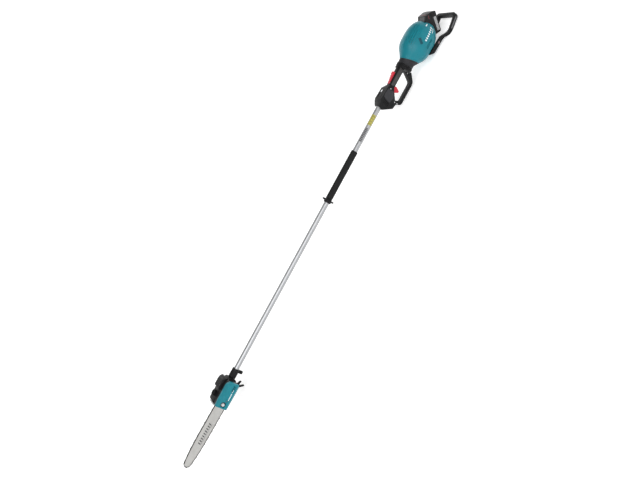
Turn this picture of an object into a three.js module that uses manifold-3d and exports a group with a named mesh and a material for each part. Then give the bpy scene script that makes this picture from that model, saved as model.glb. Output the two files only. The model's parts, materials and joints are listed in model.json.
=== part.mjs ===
// Telescoping pole saw: battery power head, two-part pole with the drive shaft inside, and a chain-saw head.
// All sizes are in millimetres. X runs along the pole towards the battery, Z is up, and the saw bar is on the
// -Y side. While the pieces are made, X is zero at the front face of the control housing and Z is zero on the
// pole's axis. The finished saw is then moved so that the origin is under the middle of its box.

import * as THREE from "three";
import { mergeVertices } from "three/addons/utils/BufferGeometryUtils.js";
import Module from "manifold-3d";

const wasm = await Module();
wasm.setup();

// ---- Clearances ----
const SEAM = 0.3; // between pieces that touch
const RUNNING = 0.25; // round a shaft that turns, or a tube that slides
const CUT_PAST = 2; // how far a cutting shape runs past the face that it opens

// ---- Pole ----
const POLE_VISIBLE = 1527; // outer tube between the lock collar and the control housing
const TUBE_DIAMETER = 27;
const TUBE_WALL = 1.3;
const INNER_TUBE_WALL = 1.3;
const TUBE_SEAT = 92; // length of outer tube clamped inside the control housing
const TRAVEL = 1090; // how far the pole extends
const TUBE_OVERLAP = 120; // inner tube still held at full reach
const SHAFT_RADIUS = 5; // six-sided inner drive shaft, across its corners
const SHAFT_TUBE_WALL = 1.8;
const SHAFT_OVERLAP = 140; // drive shafts still engaged at full reach
const BUSH_LENGTH = 26;

// ---- Lock collar ----
const COLLAR_LENGTH = 51;
const COLLAR_WALL = 6; // collar round the outer tube
const COLLAR_LIP = 8; // collar in front of the outer tube's end
const LUG_LENGTH = 17;
const LUG_WIDTH = 13;
const LUG_DROP = 26;
const KNOB_RADIUS = 9.5;
const KNOB_HEIGHT = 13;
const KNOB_SCREW_RADIUS = 2.5;
const KNOB_SCREW_DEPTH = 6;

// ---- Front grip ----
const FOAM_LENGTH = 283;
const FOAM_WALL = 4;
const FOAM_TO_HOUSING = 253;
const STOP_DIAMETER = 64;
const STOP_THICKNESS = 9;
const STOP_HUB_LENGTH = 18;
const STOP_HUB_WALL = 6.5;

// ---- Control housing and rear handle ----
const HOUSING_LENGTH = 128;
const HOUSING_TOP = 28;
const HOUSING_HALF_WIDTH = 33;
const HOUSING_NOSE_HALF_WIDTH = 22;
const HANDLE_WALL = 3;
const GRIP_LENGTH = 118;
const GRIP_HALF_WIDTH = 18;
const GRIP_TOP = 16;
const GRIP_BOTTOM = -19;
const GRIP_CORNER = 8;
const LOOP_HALF_WIDTH = 15;
const LOOP_BOTTOM = -102;
const LOOP_THICKNESS = 15;
const SCREW_RADIUS = 2.2;
const SCREW_HEAD_RADIUS = 4;
const SCREW_HEAD_HEIGHT = 3;
const CLAMP_LENGTH = 36;
const CLAMP_HALF_WIDTH = 18;
const CLAMP_FRONT = 26;

// ---- Controls ----
const PANEL_LENGTH = 50;
const PANEL_HALF_WIDTH = 20;
const PANEL_THICKNESS = 3;
const PANEL_FRONT = 46;
const BUTTON_SIZE = 11;
const BUTTON_HEIGHT = 5;
const BUTTON_PROUD = 1.8;
const BUTTON_SPACING = 20;
const LENS_LENGTH = 13;
const LENS_WIDTH = 9;
const LENS_SIDE = 11.5; // from the panel's middle, towards the right
const TRIGGER_PIVOT = [106, -14];
const TRIGGER_HALF_WIDTH = 6;
const TRIGGER_TIP = [127, -58];
const LEVER_PIVOT = [140, 15];
const LEVER_HALF_WIDTH = 8.5;
const LEVER_REAR = 200;
const LEVER_TOP = 31;
const PIN_RADIUS = 2;
const SWITCH_LENGTH = 24;
const SWITCH_SETBACK = 18; // ahead of the trigger's pivot
const SWITCH_DROP = 2; // below the pole's tube
const SWITCH_HEIGHT = 13;
const SWITCH_HALF_WIDTH = 9;

// ---- Motor housing ----
const NECK_LENGTH = 52;
const NECK_RADIUS = 42;
const BULB_LENGTH = 231;
const BULB_RADIUS = 82;
const BULB_DROP = 18; // axis of the motor housing below the pole's axis
const BULB_OVERLAP = 18; // neck inside the motor housing
const SHELL_WALL = 3;
const ROTOR_RADIUS = 26;
const ROTOR_LENGTH = 46;
const ROTOR_SETBACK = 75; // from the motor housing's front rim to the rotor
const STATOR_RADIUS = 42;
const AIR_GAP = 0.6;
const FAN_RADIUS = 44;
const FAN_THICKNESS = 10;
const FAN_BLADES = 9;
const MOTOR_SHAFT_RADIUS = 5;
const BEARING_RADIUS = 13;
const BEARING_WIDTH = 9;
const BULKHEAD = 4;
const CONTROLLER_LENGTH = 56;
const CONTROLLER_WIDTH = 62;
const CONTROLLER_THICKNESS = 14;
const CONTROLLER_GAP = 6;

// ---- Battery ----
const BATTERY_LENGTH = 118;
const BATTERY_DEPTH = 76;
const BATTERY_WIDTH = 78;
const BATTERY_CENTRE = [508, -22.5];
const BATTERY_LEAN = 34; // degrees from upright of the direction in which it slides off
const BATTERY_WALL = 2.5;
const BATTERY_LID = 22; // depth of the shell that carries the rails
const BATTERY_GAP = 0.6;
const TERMINAL_HEIGHT = 7;
const LATCH_WIDTH = 44;
const LATCH_LENGTH = 30;
const LATCH_THICKNESS = 5;
const LATCH_TRAVEL = 3;
const SLOPE_OUT = 14.4; // sloped corner that carries the latch, in the battery's out and slide directions
const SLOPE_SLIDE = 35;
const SLOPE_DROP = 9; // from the battery's longest point down to the top of the slope
const BATTERY_CROWN = 15; // where the battery is longest, in its out direction

// ---- Rear guard frame ----
const GUARD_HALF_FRONT = 45; // arm centre at the motor housing
const GUARD_HALF_REAR = 75.5; // arm centre at the rear corner
const GUARD_BAR = 15;
const GUARD_START = 366;
const GUARD_BEND = 515;
const GUARD_REAR = 614;
const GUARD_FOOT = -119;

// ---- Saw head ----
const HEAD_GAP = 1.5; // between the collar and the gear case when the pole is closed
const CASE_LENGTH = 150;
const CASE_HALF_WIDTH = 29;
const CASE_TOP = 29;
const CASE_BOTTOM = -30;
const CASE_WALL = 5;
const SPINDLE_SETBACK = 72; // from the gear case's rear to the sprocket spindle
const SPINDLE_RADIUS = 4;
const SPINDLE_BEARING_RADIUS = 11;
const BAR_PLANE = 44; // distance of the bar's middle plane from the pole's axis
const COVER_SIDE = 64;
const COVER_WALL = 2.5;
const COVER_TOP = 40;
const COVER_BOTTOM = -38;
const COVER_CHAMFER = 11; // slope along the cover's lower outer edge
const BAR_TILT = 1.1; // degrees that the bar's nose points up
const BAR_REACH = 433; // from the spindle to the chain's far end
const BAR_THICKNESS = 4.4;
const BAR_HALF_WIDTH = 26;
const BAR_NOSE_RADIUS = 16;
const BAR_TAIL = 33; // from the spindle to the bar's rear end
const BAR_TAPER = 64; // from the spindle to where the bar reaches its full width
const BAR_WIDEST = 150; // from the spindle to where the bar starts to narrow
const CHAIN_HEIGHT = 6;
const CHAIN_HALF_THICKNESS = 2.8;
const SPROCKET_RADIUS = 16;
const SPROCKET_TEETH = 8;
const NOSE_SPROCKET_RADIUS = 12;
const NOSE_SPROCKET_TEETH = 7;
const NOSE_SPROCKET_THICKNESS = 1.4;
const NOSE_PIN_RADIUS = 3;
const STUD_SETBACK = 58; // from the spindle forward to the bar stud
const STUD_RADIUS = 4;
const NUT_RADIUS = 9;
const NUT_HEIGHT = 8;
const TENSIONER_SETBACK = 34;
const TENSIONER_RADIUS = 3;
const PINION_TEETH = 12;
const GEAR_TEETH = 16;
const GEAR_MODULE = 2; // outer pitch diameter of a bevel gear divided by its teeth
const GEAR_FACE_SHARE = 0.4; // share of the cone distance that the teeth cover
const TANK_TOP = 52;
const TANK_STEP = 41;
const TANK_HUMP = 72;
const TANK_RIGHT = 34;
const TANK_WALL = 2.5;
const CAP_RADIUS = 16;
const CAP_HEIGHT = 13;
const CAP_NECK_RADIUS = 10;
const CAP_SETBACK = 34;
const SPIKE_THICKNESS = 3;
const SPIKE_REACH = 10;
const SPIKE_PITCH = 9;
const SPIKES = 3;
const SPIKE_DROP = 20; // from the top of the gear case down to the lowest spike
const HOOK_THICKNESS = 9;
const HOOK_BOTTOM = -74;

// ---- Roundness ----
const LARGE_ROUND = 40;
const ROUND = 24;
const SMALL_ROUND = 14;

// ---- Places that follow from the sizes ----
const TUBE_RADIUS = TUBE_DIAMETER / 2;
const COLLAR_RADIUS = TUBE_RADIUS + COLLAR_WALL;
const FOAM_RADIUS = TUBE_RADIUS + FOAM_WALL;
const STOP_HUB_RADIUS = TUBE_RADIUS + STOP_HUB_WALL;
const TUBE_BORE = TUBE_RADIUS - TUBE_WALL;
const INNER_RADIUS = TUBE_BORE - SEAM;
const INNER_BORE = INNER_RADIUS - INNER_TUBE_WALL;
const COLLAR_REAR = -POLE_VISIBLE;
const COLLAR_FRONT = COLLAR_REAR - COLLAR_LENGTH;
const HEAD_REAR = COLLAR_FRONT - HEAD_GAP;
const TUBE_FRONT = COLLAR_FRONT + COLLAR_LIP;
const INNER_REAR = COLLAR_REAR + TUBE_OVERLAP + TRAVEL;
const SHAFT_TUBE_BORE = SHAFT_RADIUS + RUNNING;
const SHAFT_TUBE_RADIUS = SHAFT_TUBE_BORE + SHAFT_TUBE_WALL;
const SHAFT_TUBE_REAR = INNER_REAR - BUSH_LENGTH / 2;
const SHAFT_FRONT = SHAFT_TUBE_REAR - TRAVEL - SHAFT_OVERLAP;
const SPINDLE = HEAD_REAR - SPINDLE_SETBACK;
const CASE_FRONT = HEAD_REAR - CASE_LENGTH;
const GRIP_REAR = HOUSING_LENGTH + GRIP_LENGTH;
const NECK_REAR = GRIP_REAR + NECK_LENGTH;
const BULB_FRONT = NECK_REAR - BULB_OVERLAP;
const BULB_REAR = BULB_FRONT + BULB_LENGTH;
const ROTOR_FRONT = BULB_FRONT + ROTOR_SETBACK;
const ROTOR_REAR = ROTOR_FRONT + ROTOR_LENGTH;
const LEAN = THREE.MathUtils.degToRad(BATTERY_LEAN);
const FIRST_BUTTON = PANEL_FRONT + 14;
const BUTTON_PLACES = [["power_button", FIRST_BUTTON], ["mode_button", FIRST_BUTTON + BUTTON_SPACING]];
const HANDLE_SCREWS = [
  ["handle_screw_front", 70, LOOP_BOTTOM + LOOP_THICKNESS * 1.7],
  ["handle_screw_rear", GRIP_REAR - 13, GRIP_BOTTOM - 26],
];
const NOSE_CENTRE = BAR_REACH - CHAIN_HEIGHT - SEAM - BAR_NOSE_RADIUS;

// ---- Solids ----

// A closed triangle mesh as a solid, with its faces outward.
function solid(geometry) {
  const bare = new THREE.BufferGeometry();
  bare.setAttribute("position", geometry.getAttribute("position"));
  bare.setIndex(geometry.getIndex());
  const merged = mergeVertices(bare, 1e-3);
  const ids = Array.from(merged.getIndex().array);
  const kept = [];
  for (let i = 0; i < ids.length; i += 3) {
    const [a, b, c] = ids.slice(i, i + 3);
    if (a !== b && b !== c && a !== c) kept.push(a, b, c);
  }
  const build = (order) =>
    new wasm.Manifold(
      new wasm.Mesh({
        numProp: 3,
        vertProperties: merged.getAttribute("position").array,
        triVerts: Uint32Array.from(order),
      }),
    );
  const made = build(kept);
  return made.volume() < 0 ? build(kept.reverse()) : made;
}

function piece(name, body, [color, roughness, metalness]) {
  const found = body.getMesh();
  const geometry = new THREE.BufferGeometry();
  geometry.setAttribute("position", new THREE.BufferAttribute(found.vertProperties, 3));
  geometry.setIndex(new THREE.BufferAttribute(found.triVerts, 1));
  geometry.computeVertexNormals();
  const mesh = new THREE.Mesh(geometry, new THREE.MeshStandardMaterial({ color, roughness, metalness }));
  mesh.name = name;
  return mesh;
}

const along = (x, y, z) => new THREE.Matrix4().makeBasis(x, y, z);
const PLUS_X = new THREE.Vector3(1, 0, 0);
const PLUS_Y = new THREE.Vector3(0, 1, 0);
const MINUS_Y = new THREE.Vector3(0, -1, 0);
const PLUS_Z = new THREE.Vector3(0, 0, 1);

function extruded(points, depth, holes = []) {
  const shape = new THREE.Shape(points.map(([a, b]) => new THREE.Vector2(a, b)));
  shape.holes = holes.map((hole) => new THREE.Path(hole.map(([a, b]) => new THREE.Vector2(a, b))));
  return new THREE.ExtrudeGeometry(shape, { depth, bevelEnabled: false });
}

// An outline in X and Z, carried across Y.
function acrossY(points, low, high, holes) {
  const made = extruded(points, high - low, holes);
  made.applyMatrix4(along(PLUS_X, PLUS_Z, MINUS_Y));
  return solid(made.translate(0, high, 0));
}

// An outline in Y and Z, carried along X.
function alongX(points, low, high, holes) {
  const made = extruded(points, high - low, holes);
  made.applyMatrix4(along(PLUS_Y, PLUS_Z, PLUS_X));
  return solid(made.translate(low, 0, 0));
}

// An outline in X and Y, carried up Z.
function upZ(points, low, high, holes) {
  return solid(extruded(points, high - low, holes).translate(0, 0, low));
}

function block(x, y, z) {
  const made = new THREE.BoxGeometry(x[1] - x[0], y[1] - y[0], z[1] - z[0]);
  return solid(made.translate((x[0] + x[1]) / 2, (y[0] + y[1]) / 2, (z[0] + z[1]) / 2));
}

// A profile of [x, radius] points, turned about the X axis.
function turned(profile, sides = ROUND) {
  const made = new THREE.LatheGeometry(
    profile.map(([x, radius]) => new THREE.Vector2(radius, x)),
    sides,
  );
  return solid(made.applyMatrix4(along(PLUS_Z, PLUS_X, PLUS_Y)));
}

function ringX(low, high, bore, radius, sides = ROUND) {
  const section = [[low, bore], [high, bore], [high, radius], [low, radius], [low, bore]];
  return turned(section, sides);
}

function rodX(low, high, radius, sides = ROUND) {
  return turned([[low, 0], [low, radius], [high, radius], [high, 0]], sides);
}

// Turns what was made about X so that it runs along Y or Z, through the point given.
function toY(body, x, z) {
  return body.rotate([0, 0, 90]).translate([x, 0, z]);
}

function toZ(body, x, y) {
  return body.rotate([0, -90, 0]).translate([x, y, 0]);
}

const rodY = (x, z, radius, low, high, sides = SMALL_ROUND) => toY(rodX(low, high, radius, sides), x, z);
const rodZ = (x, y, radius, low, high, sides = SMALL_ROUND) => toZ(rodX(low, high, radius, sides), x, y);

const mirrorY = (points) => points.map(([x, y]) => [x, -y]);

function rectangle(halfWidth, low, high, corner) {
  return [
    [-halfWidth + corner, low],
    [halfWidth - corner, low],
    [halfWidth, low + corner],
    [halfWidth, high - corner],
    [halfWidth - corner, high],
    [-halfWidth + corner, high],
    [-halfWidth, high - corner],
    [-halfWidth, low + corner],
  ];
}

// A toothed outline: each tooth is narrower at its tip than at its root.
function toothed(teeth, root, tip, rootShare, tipShare, turn = 0) {
  const points = [];
  for (let i = 0; i < teeth; i++) {
    const middle = ((i + turn) * 2 * Math.PI) / teeth;
    const pitch = Math.PI / teeth;
    [[root, -rootShare], [tip, -tipShare], [tip, tipShare], [root, rootShare]].forEach(([r, share]) => {
      const angle = middle + share * pitch;
      points.push([r * Math.cos(angle), r * Math.sin(angle)]);
    });
  }
  return points;
}

class Helix extends THREE.Curve {
  constructor(radius, height, turns) {
    super();
    Object.assign(this, { radius, height, turns });
  }
  getPoint(t) {
    const angle = t * this.turns * 2 * Math.PI;
    return new THREE.Vector3(
      this.radius * Math.cos(angle),
      this.radius * Math.sin(angle),
      this.height * t,
    );
  }
}

// A coil spring that stands along Z from its low end.
function coilSpring(radius, wire, height, turns) {
  const section = new THREE.Shape().absarc(0, 0, wire / 2, 0, 2 * Math.PI);
  const extrudePath = new Helix(radius, height, turns);
  const steps = turns * 10;
  return solid(new THREE.ExtrudeGeometry(section, { extrudePath, steps, curveSegments: 3 }));
}

const halfSpace = (side, reach, x0, x1) =>
  block([x0, x1], side < 0 ? [-reach, -SEAM / 2] : [SEAM / 2, reach], [-reach, reach]);

// ---- Finishes: colour, roughness, metalness ----
const TEAL = [0x0f8291, 0.4, 0];
const BLACK = [0x1e1e21, 0.55, 0];
const DARK_GREY = [0x50505a, 0.6, 0];
const RED = [0xc83241, 0.45, 0];
const SILVER = [0xc9cbce, 0.3, 1];
const STEEL = [0x9a9a9c, 0.35, 1];
const BAR_STEEL = [0xb4b2ac, 0.45, 1];
const DARK_STEEL = [0x46464a, 0.45, 1];
const FOAM = [0x343434, 0.95, 0];
const CLEAR = [0xe8eef2, 0.15, 0];
const COPPER = [0xb06a3a, 0.4, 1];
const BOARD = [0x2c5a3c, 0.7, 0];

// ---- Pole ----
function outerTube() {
  return piece("outer_tube", ringX(TUBE_FRONT, TUBE_SEAT, TUBE_BORE, TUBE_RADIUS), SILVER);
}

function innerTube() {
  const front = HEAD_REAR - CASE_WALL * 4;
  return piece("inner_tube", ringX(front, INNER_REAR, INNER_BORE, INNER_RADIUS), SILVER);
}

// The motor-side shaft is six-sided and slides inside the head-side shaft.
function rearDriveShaft() {
  const seat = ROTOR_FRONT - BEARING_WIDTH - BULKHEAD * 3;
  return piece("rear_drive_shaft", rodX(SHAFT_FRONT, seat, SHAFT_RADIUS, 6), DARK_STEEL);
}

function frontDriveShaft() {
  const pinionBack = SPINDLE + (GEAR_MODULE * GEAR_TEETH) / 2;
  const hub = rodX(pinionBack - SEAM, pinionBack + CASE_WALL, SHAFT_TUBE_RADIUS);
  const sleeve = rodX(pinionBack + CASE_WALL - SEAM, SHAFT_TUBE_REAR, SHAFT_TUBE_RADIUS, 12);
  const bore = rodX(pinionBack + CASE_WALL, SHAFT_TUBE_REAR + CUT_PAST, SHAFT_TUBE_BORE, 6);
  const body = hub.add(sleeve).subtract(bore).add(bevelPinion());
  return piece("front_drive_shaft", body, DARK_STEEL);
}

function shaftBushes() {
  const rear = INNER_REAR + TUBE_OVERLAP;
  const rearBush = ringX(rear, rear + BUSH_LENGTH, SHAFT_RADIUS + RUNNING, TUBE_BORE - SEAM);
  const frontBush = ringX(
    INNER_REAR - BUSH_LENGTH,
    INNER_REAR,
    SHAFT_TUBE_RADIUS + RUNNING,
    INNER_BORE - SEAM,
  );
  return {
    rear: piece("shaft_bush_rear", rearBush, BLACK),
    front: piece("shaft_bush_front", frontBush, BLACK),
  };
}

function foamGrip() {
  const rear = -FOAM_TO_HOUSING;
  const front = rear - FOAM_LENGTH;
  const edge = 3;
  const r = FOAM_RADIUS;
  const bore = TUBE_RADIUS + SEAM;
  const section = [
    [front, bore], [rear, bore], [rear, r - edge], [rear - edge, r],
    [front + edge, r], [front, r - edge], [front, bore],
  ];
  return piece("foam_grip", turned(section), FOAM);
}

function handStop() {
  const rear = -FOAM_TO_HOUSING - FOAM_LENGTH - SEAM;
  const bore = TUBE_RADIUS + SEAM;
  const flangeFront = rear - STOP_THICKNESS;
  const front = rear - STOP_HUB_LENGTH;
  const section = [
    [front, bore], [rear, bore], [rear, STOP_DIAMETER / 2], [flangeFront, STOP_DIAMETER / 2],
    [flangeFront, STOP_HUB_RADIUS], [front, STOP_HUB_RADIUS - CUT_PAST], [front, bore],
  ];
  return piece("hand_stop", turned(section), BLACK);
}

// ---- Lock collar ----
function lockCollar() {
  const bore = TUBE_RADIUS + SEAM;
  const r = COLLAR_RADIUS;
  const lip = INNER_RADIUS + RUNNING;
  const section = [
    [COLLAR_FRONT, lip], [TUBE_FRONT - SEAM, lip], [TUBE_FRONT - SEAM, bore], [COLLAR_REAR, bore],
    [COLLAR_REAR, r], [COLLAR_FRONT + 2, r], [COLLAR_FRONT, r - 2], [COLLAR_FRONT, lip],
  ];
  const lug = block(
    [COLLAR_REAR - LUG_LENGTH, COLLAR_REAR],
    [-LUG_WIDTH / 2, LUG_WIDTH / 2],
    [-LUG_DROP, -bore - SEAM],
  );
  const x = COLLAR_REAR - LUG_LENGTH / 2;
  const holeTop = -LUG_DROP + KNOB_SCREW_DEPTH + 1;
  const hole = rodZ(x, 0, KNOB_SCREW_RADIUS + RUNNING, -LUG_DROP - CUT_PAST, holeTop);
  return piece("lock_collar", turned(section).add(lug).subtract(hole), BLACK);
}

function lockKnob() {
  const x = COLLAR_REAR - LUG_LENGTH / 2;
  const top = -LUG_DROP - SEAM;
  const grip = upZ(toothed(6, KNOB_RADIUS - 1.5, KNOB_RADIUS, 0.7, 0.5), top - KNOB_HEIGHT, top)
    .translate([x, 0, 0]);
  const screw = rodZ(x, 0, KNOB_SCREW_RADIUS, top - SEAM, -LUG_DROP + KNOB_SCREW_DEPTH);
  return piece("lock_knob", grip.add(screw), BLACK);
}

// ---- Control housing, rear handle and hand guard, in two halves ----
const HOUSING_SIDE = [
  [0, -14], [6, 14], [40, HOUSING_TOP], [HOUSING_LENGTH - 22, HOUSING_TOP - 3],
  [HOUSING_LENGTH, GRIP_TOP - 2], [HOUSING_LENGTH, GRIP_BOTTOM + 2], [HOUSING_LENGTH - 20, GRIP_BOTTOM - 2],
  [84, -40], [56, -62], [32, -58],
];
const HOUSING_PLAN = [
  [0, HOUSING_NOSE_HALF_WIDTH], [28, HOUSING_HALF_WIDTH],
  [HOUSING_LENGTH - 24, HOUSING_HALF_WIDTH], [HOUSING_LENGTH, GRIP_HALF_WIDTH],
];

function housingBlock(inset) {
  const mirrored = [...HOUSING_PLAN].reverse().map(([x, y]) => [x, -y]);
  const plan = [...HOUSING_PLAN, ...mirrored].map(([x, y]) => [
    THREE.MathUtils.clamp(x, inset, HOUSING_LENGTH + CUT_PAST),
    y - Math.sign(y) * inset,
  ]);
  const centreX = HOUSING_LENGTH / 2;
  const centreZ = (HOUSING_TOP + GRIP_BOTTOM) / 2;
  const shrink = (value, centre, half) => centre + (value - centre) * (1 - inset / half);
  const side = HOUSING_SIDE.map(([x, z]) => [shrink(x, centreX, centreX), shrink(z, centreZ, HOUSING_TOP)]);
  return acrossY(side, -HOUSING_HALF_WIDTH, HOUSING_HALF_WIDTH)
    .intersect(upZ(plan, 2 * LOOP_BOTTOM, BULB_RADIUS));
}

function gripBlock(inset) {
  const [bottom, top] = [GRIP_BOTTOM + inset, GRIP_TOP - inset];
  const section = rectangle(GRIP_HALF_WIDTH - inset, bottom, top, GRIP_CORNER - inset);
  return alongX(section, HOUSING_LENGTH - HANDLE_WALL * 3, GRIP_REAR - SEAM);
}

// The guard loop: a front strut, a bottom bar and a strut that slants up to the neck.
function loopBlock() {
  const floor = LOOP_BOTTOM + LOOP_THICKNESS;
  const outer = [
    [50, -52], [78, LOOP_BOTTOM], [207, LOOP_BOTTOM],
    [GRIP_REAR - SEAM, -66], [GRIP_REAR - SEAM, GRIP_BOTTOM],
    [GRIP_REAR - 16, GRIP_BOTTOM - 14], [200, floor], [92, floor], [76, -46], [66, -40],
  ];
  return acrossY(outer, -LOOP_HALF_WIDTH, LOOP_HALF_WIDTH);
}

// The round end that bolts to the neck.
function handleRim() {
  const rim = rodX(GRIP_REAR - HANDLE_WALL * 4, GRIP_REAR - SEAM, NECK_RADIUS, LARGE_ROUND);
  return rim.translate([0, 0, -BULB_DROP]);
}

function triggerSlot() {
  const half = TRIGGER_HALF_WIDTH + RUNNING * 2;
  const [x, z] = TRIGGER_PIVOT;
  return acrossY(
    [[x - 12, z + 8], [x + 14, z + 8], [x + 46, z], [x + 46, -60], [x - 4, -60], [x - 12, z - 12]],
    -half,
    half,
  );
}

function leverSlot() {
  const half = LEVER_HALF_WIDTH + RUNNING * 2;
  const [x, z] = LEVER_PIVOT;
  const room = 7;
  return block([x - room, LEVER_REAR + 1], [-half, half], [z - 9, LEVER_TOP + CUT_PAST]);
}

function handleHalves() {
  const shaftRoom = rodX(HOUSING_LENGTH - HANDLE_WALL * 5, GRIP_REAR + CUT_PAST, SHAFT_RADIUS + 2);
  const nose = rodX(-CUT_PAST, TUBE_SEAT, TUBE_RADIUS + SEAM);
  const gripHollow = gripBlock(HANDLE_WALL).intersect(
    block([HOUSING_LENGTH - 4 * HANDLE_WALL, GRIP_REAR - 5 * HANDLE_WALL], [-GRIP_HALF_WIDTH, GRIP_HALF_WIDTH], [
      GRIP_BOTTOM, GRIP_TOP,
    ]),
  );
  const panelSeat = block(
    [PANEL_FRONT - SEAM, PANEL_FRONT + PANEL_LENGTH + SEAM],
    [-PANEL_HALF_WIDTH - SEAM, PANEL_HALF_WIDTH + SEAM],
    [HOUSING_TOP - PANEL_THICKNESS - 4, HOUSING_TOP + CUT_PAST],
  );
  const [tx, tz] = TRIGGER_PIVOT;
  const [lx, lz] = LEVER_PIVOT;
  const pins = rodY(tx, tz, PIN_RADIUS + SEAM, -GRIP_HALF_WIDTH / 2, GRIP_HALF_WIDTH / 2)
    .add(rodY(lx, lz, PIN_RADIUS + SEAM, -GRIP_HALF_WIDTH / 2 - 3, GRIP_HALF_WIDTH / 2 + 3));
  const whole = housingBlock(0)
    .add(gripBlock(0))
    .add(loopBlock())
    .add(handleRim())
    .subtract(housingBlock(HANDLE_WALL))
    .subtract(gripHollow)
    .subtract(shaftRoom)
    .subtract(nose)
    .subtract(panelSeat)
    .subtract(triggerSlot())
    .subtract(leverSlot())
    .subtract(pins)
    .subtract(screwHoles());
  const reach = 2 * BULB_RADIUS;
  return [
    ["handle_left", -1],
    ["handle_right", 1],
  ].map(([name, side]) =>
    piece(name, whole.intersect(halfSpace(side, reach, -CUT_PAST, NECK_REAR)), BLACK),
  );
}

function screwHoles() {
  return HANDLE_SCREWS.map(([, x, z]) =>
    rodY(x, z, SCREW_RADIUS + SEAM, -LOOP_HALF_WIDTH - CUT_PAST, LOOP_HALF_WIDTH - HANDLE_WALL).add(
      rodY(
        x, z, SCREW_HEAD_RADIUS + SEAM,
        -LOOP_HALF_WIDTH - CUT_PAST, -LOOP_HALF_WIDTH + SCREW_HEAD_HEIGHT + SEAM,
      ),
    ),
  ).reduce((a, b) => a.add(b));
}

function handleScrews() {
  return HANDLE_SCREWS.map(([name, x, z]) => {
    const headIn = -LOOP_HALF_WIDTH + SCREW_HEAD_HEIGHT;
    const shank = rodY(x, z, SCREW_RADIUS, headIn - SEAM, LOOP_HALF_WIDTH - HANDLE_WALL - SEAM);
    const head = rodY(x, z, SCREW_HEAD_RADIUS, -LOOP_HALF_WIDTH, headIn);
    return piece(name, head.add(shank), STEEL);
  });
}

// The split block that grips the outer tube inside the housing.
function tubeClamp() {
  const rear = CLAMP_FRONT + CLAMP_LENGTH;
  const body = block([CLAMP_FRONT, rear], [-CLAMP_HALF_WIDTH, CLAMP_HALF_WIDTH], [
    -CLAMP_HALF_WIDTH, CLAMP_HALF_WIDTH,
  ]);
  const bore = rodX(0, rear + CUT_PAST, TUBE_RADIUS + SEAM);
  const slit = block([0, rear + CUT_PAST], [-1, 1], [-CLAMP_HALF_WIDTH - 1, 0]);
  return piece("tube_clamp", body.subtract(bore).subtract(slit), SILVER);
}

// ---- Controls ----
function panelTop() {
  return HOUSING_TOP - 3;
}

function controlPanel() {
  const top = panelTop();
  const plate = block([PANEL_FRONT, PANEL_FRONT + PANEL_LENGTH], [-PANEL_HALF_WIDTH, PANEL_HALF_WIDTH], [
    top - PANEL_THICKNESS, top,
  ]);
  const half = BUTTON_SIZE / 2 + SEAM;
  const cuts = BUTTON_PLACES.map(([, x]) =>
    block([x - half, x + half], [-half, half], [top - 2 * PANEL_THICKNESS, top + CUT_PAST]),
  );
  const open = cuts.reduce((body, cut) => body.subtract(cut), plate);
  return piece("control_panel", open.subtract(lensBlock(SEAM)), BLACK);
}

function controlButtons() {
  const half = BUTTON_SIZE / 2;
  const top = panelTop() + BUTTON_PROUD;
  return BUTTON_PLACES.map(([name, x]) =>
    piece(name, block([x - half, x + half], [-half, half], [top - BUTTON_HEIGHT, top]), DARK_GREY),
  );
}

function lensBlock(grow) {
  const x = PANEL_FRONT + PANEL_LENGTH - LENS_LENGTH / 2 - 2;
  const y = LENS_SIDE;
  const top = panelTop();
  return block(
    [x - LENS_LENGTH / 2 - grow, x + LENS_LENGTH / 2 + grow],
    [y - LENS_WIDTH / 2 - grow, y + LENS_WIDTH / 2 + grow],
    [top - PANEL_THICKNESS / 2 - grow, top + 0.5 + grow * 4],
  );
}

function indicatorLens() {
  return piece("indicator_lens", lensBlock(0), CLEAR);
}

function trigger() {
  const [x, z] = TRIGGER_PIVOT;
  const [tipX, tipZ] = TRIGGER_TIP;
  const side = [
    [x - 6, z + 5], [x + 6, z + 6], [x + 36, z - 8], [x + 38, z - 18],
    [tipX + 4, tipZ], [tipX - 4, tipZ + 2], [x + 6, z - 22], [x - 6, z - 8],
  ];
  const body = acrossY(side, -TRIGGER_HALF_WIDTH, TRIGGER_HALF_WIDTH);
  const bore = rodY(x, z, PIN_RADIUS + RUNNING, -GRIP_HALF_WIDTH, GRIP_HALF_WIDTH);
  return piece("trigger", body.subtract(bore), RED);
}

function lockOffLever() {
  const [x, z] = LEVER_PIVOT;
  const side = [
    [x - 5, z - 4], [x + 6, z - 4], [x + 10, z + 1], [LEVER_REAR, z + 1], [LEVER_REAR, LEVER_TOP - 3],
  ];
  const ribs = 4;
  const run = (LEVER_REAR - x - 8) / ribs;
  const rise = (LEVER_TOP - z - 8) / ribs;
  for (let i = ribs; i > 0; i--) {
    side.push([x + 8 + run * i - 2, z + 8 + rise * i]);
    side.push([x + 8 + run * (i - 1), z + 6 + rise * (i - 1)]);
  }
  side.push([x - 5, z + 4]);
  const body = acrossY(side, -LEVER_HALF_WIDTH, LEVER_HALF_WIDTH);
  const bore = rodY(x, z, PIN_RADIUS + RUNNING, -GRIP_HALF_WIDTH, GRIP_HALF_WIDTH);
  return piece("lock_off_lever", body.subtract(bore), RED);
}

function pivotPins() {
  return [
    ["trigger_pin", TRIGGER_PIVOT, GRIP_HALF_WIDTH / 2 - SEAM],
    ["lever_pin", LEVER_PIVOT, GRIP_HALF_WIDTH / 2 + 3 - SEAM],
  ].map(([name, [x, z], half]) => piece(name, rodY(x, z, PIN_RADIUS, -half, half), STEEL));
}

function triggerSpring() {
  const [x, z] = TRIGGER_PIVOT;
  const height = 3.6;
  return piece("trigger_spring", coilSpring(2.2, 0.7, height, 3).translate([x + 14, 0, z + 4]), STEEL);
}

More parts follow.
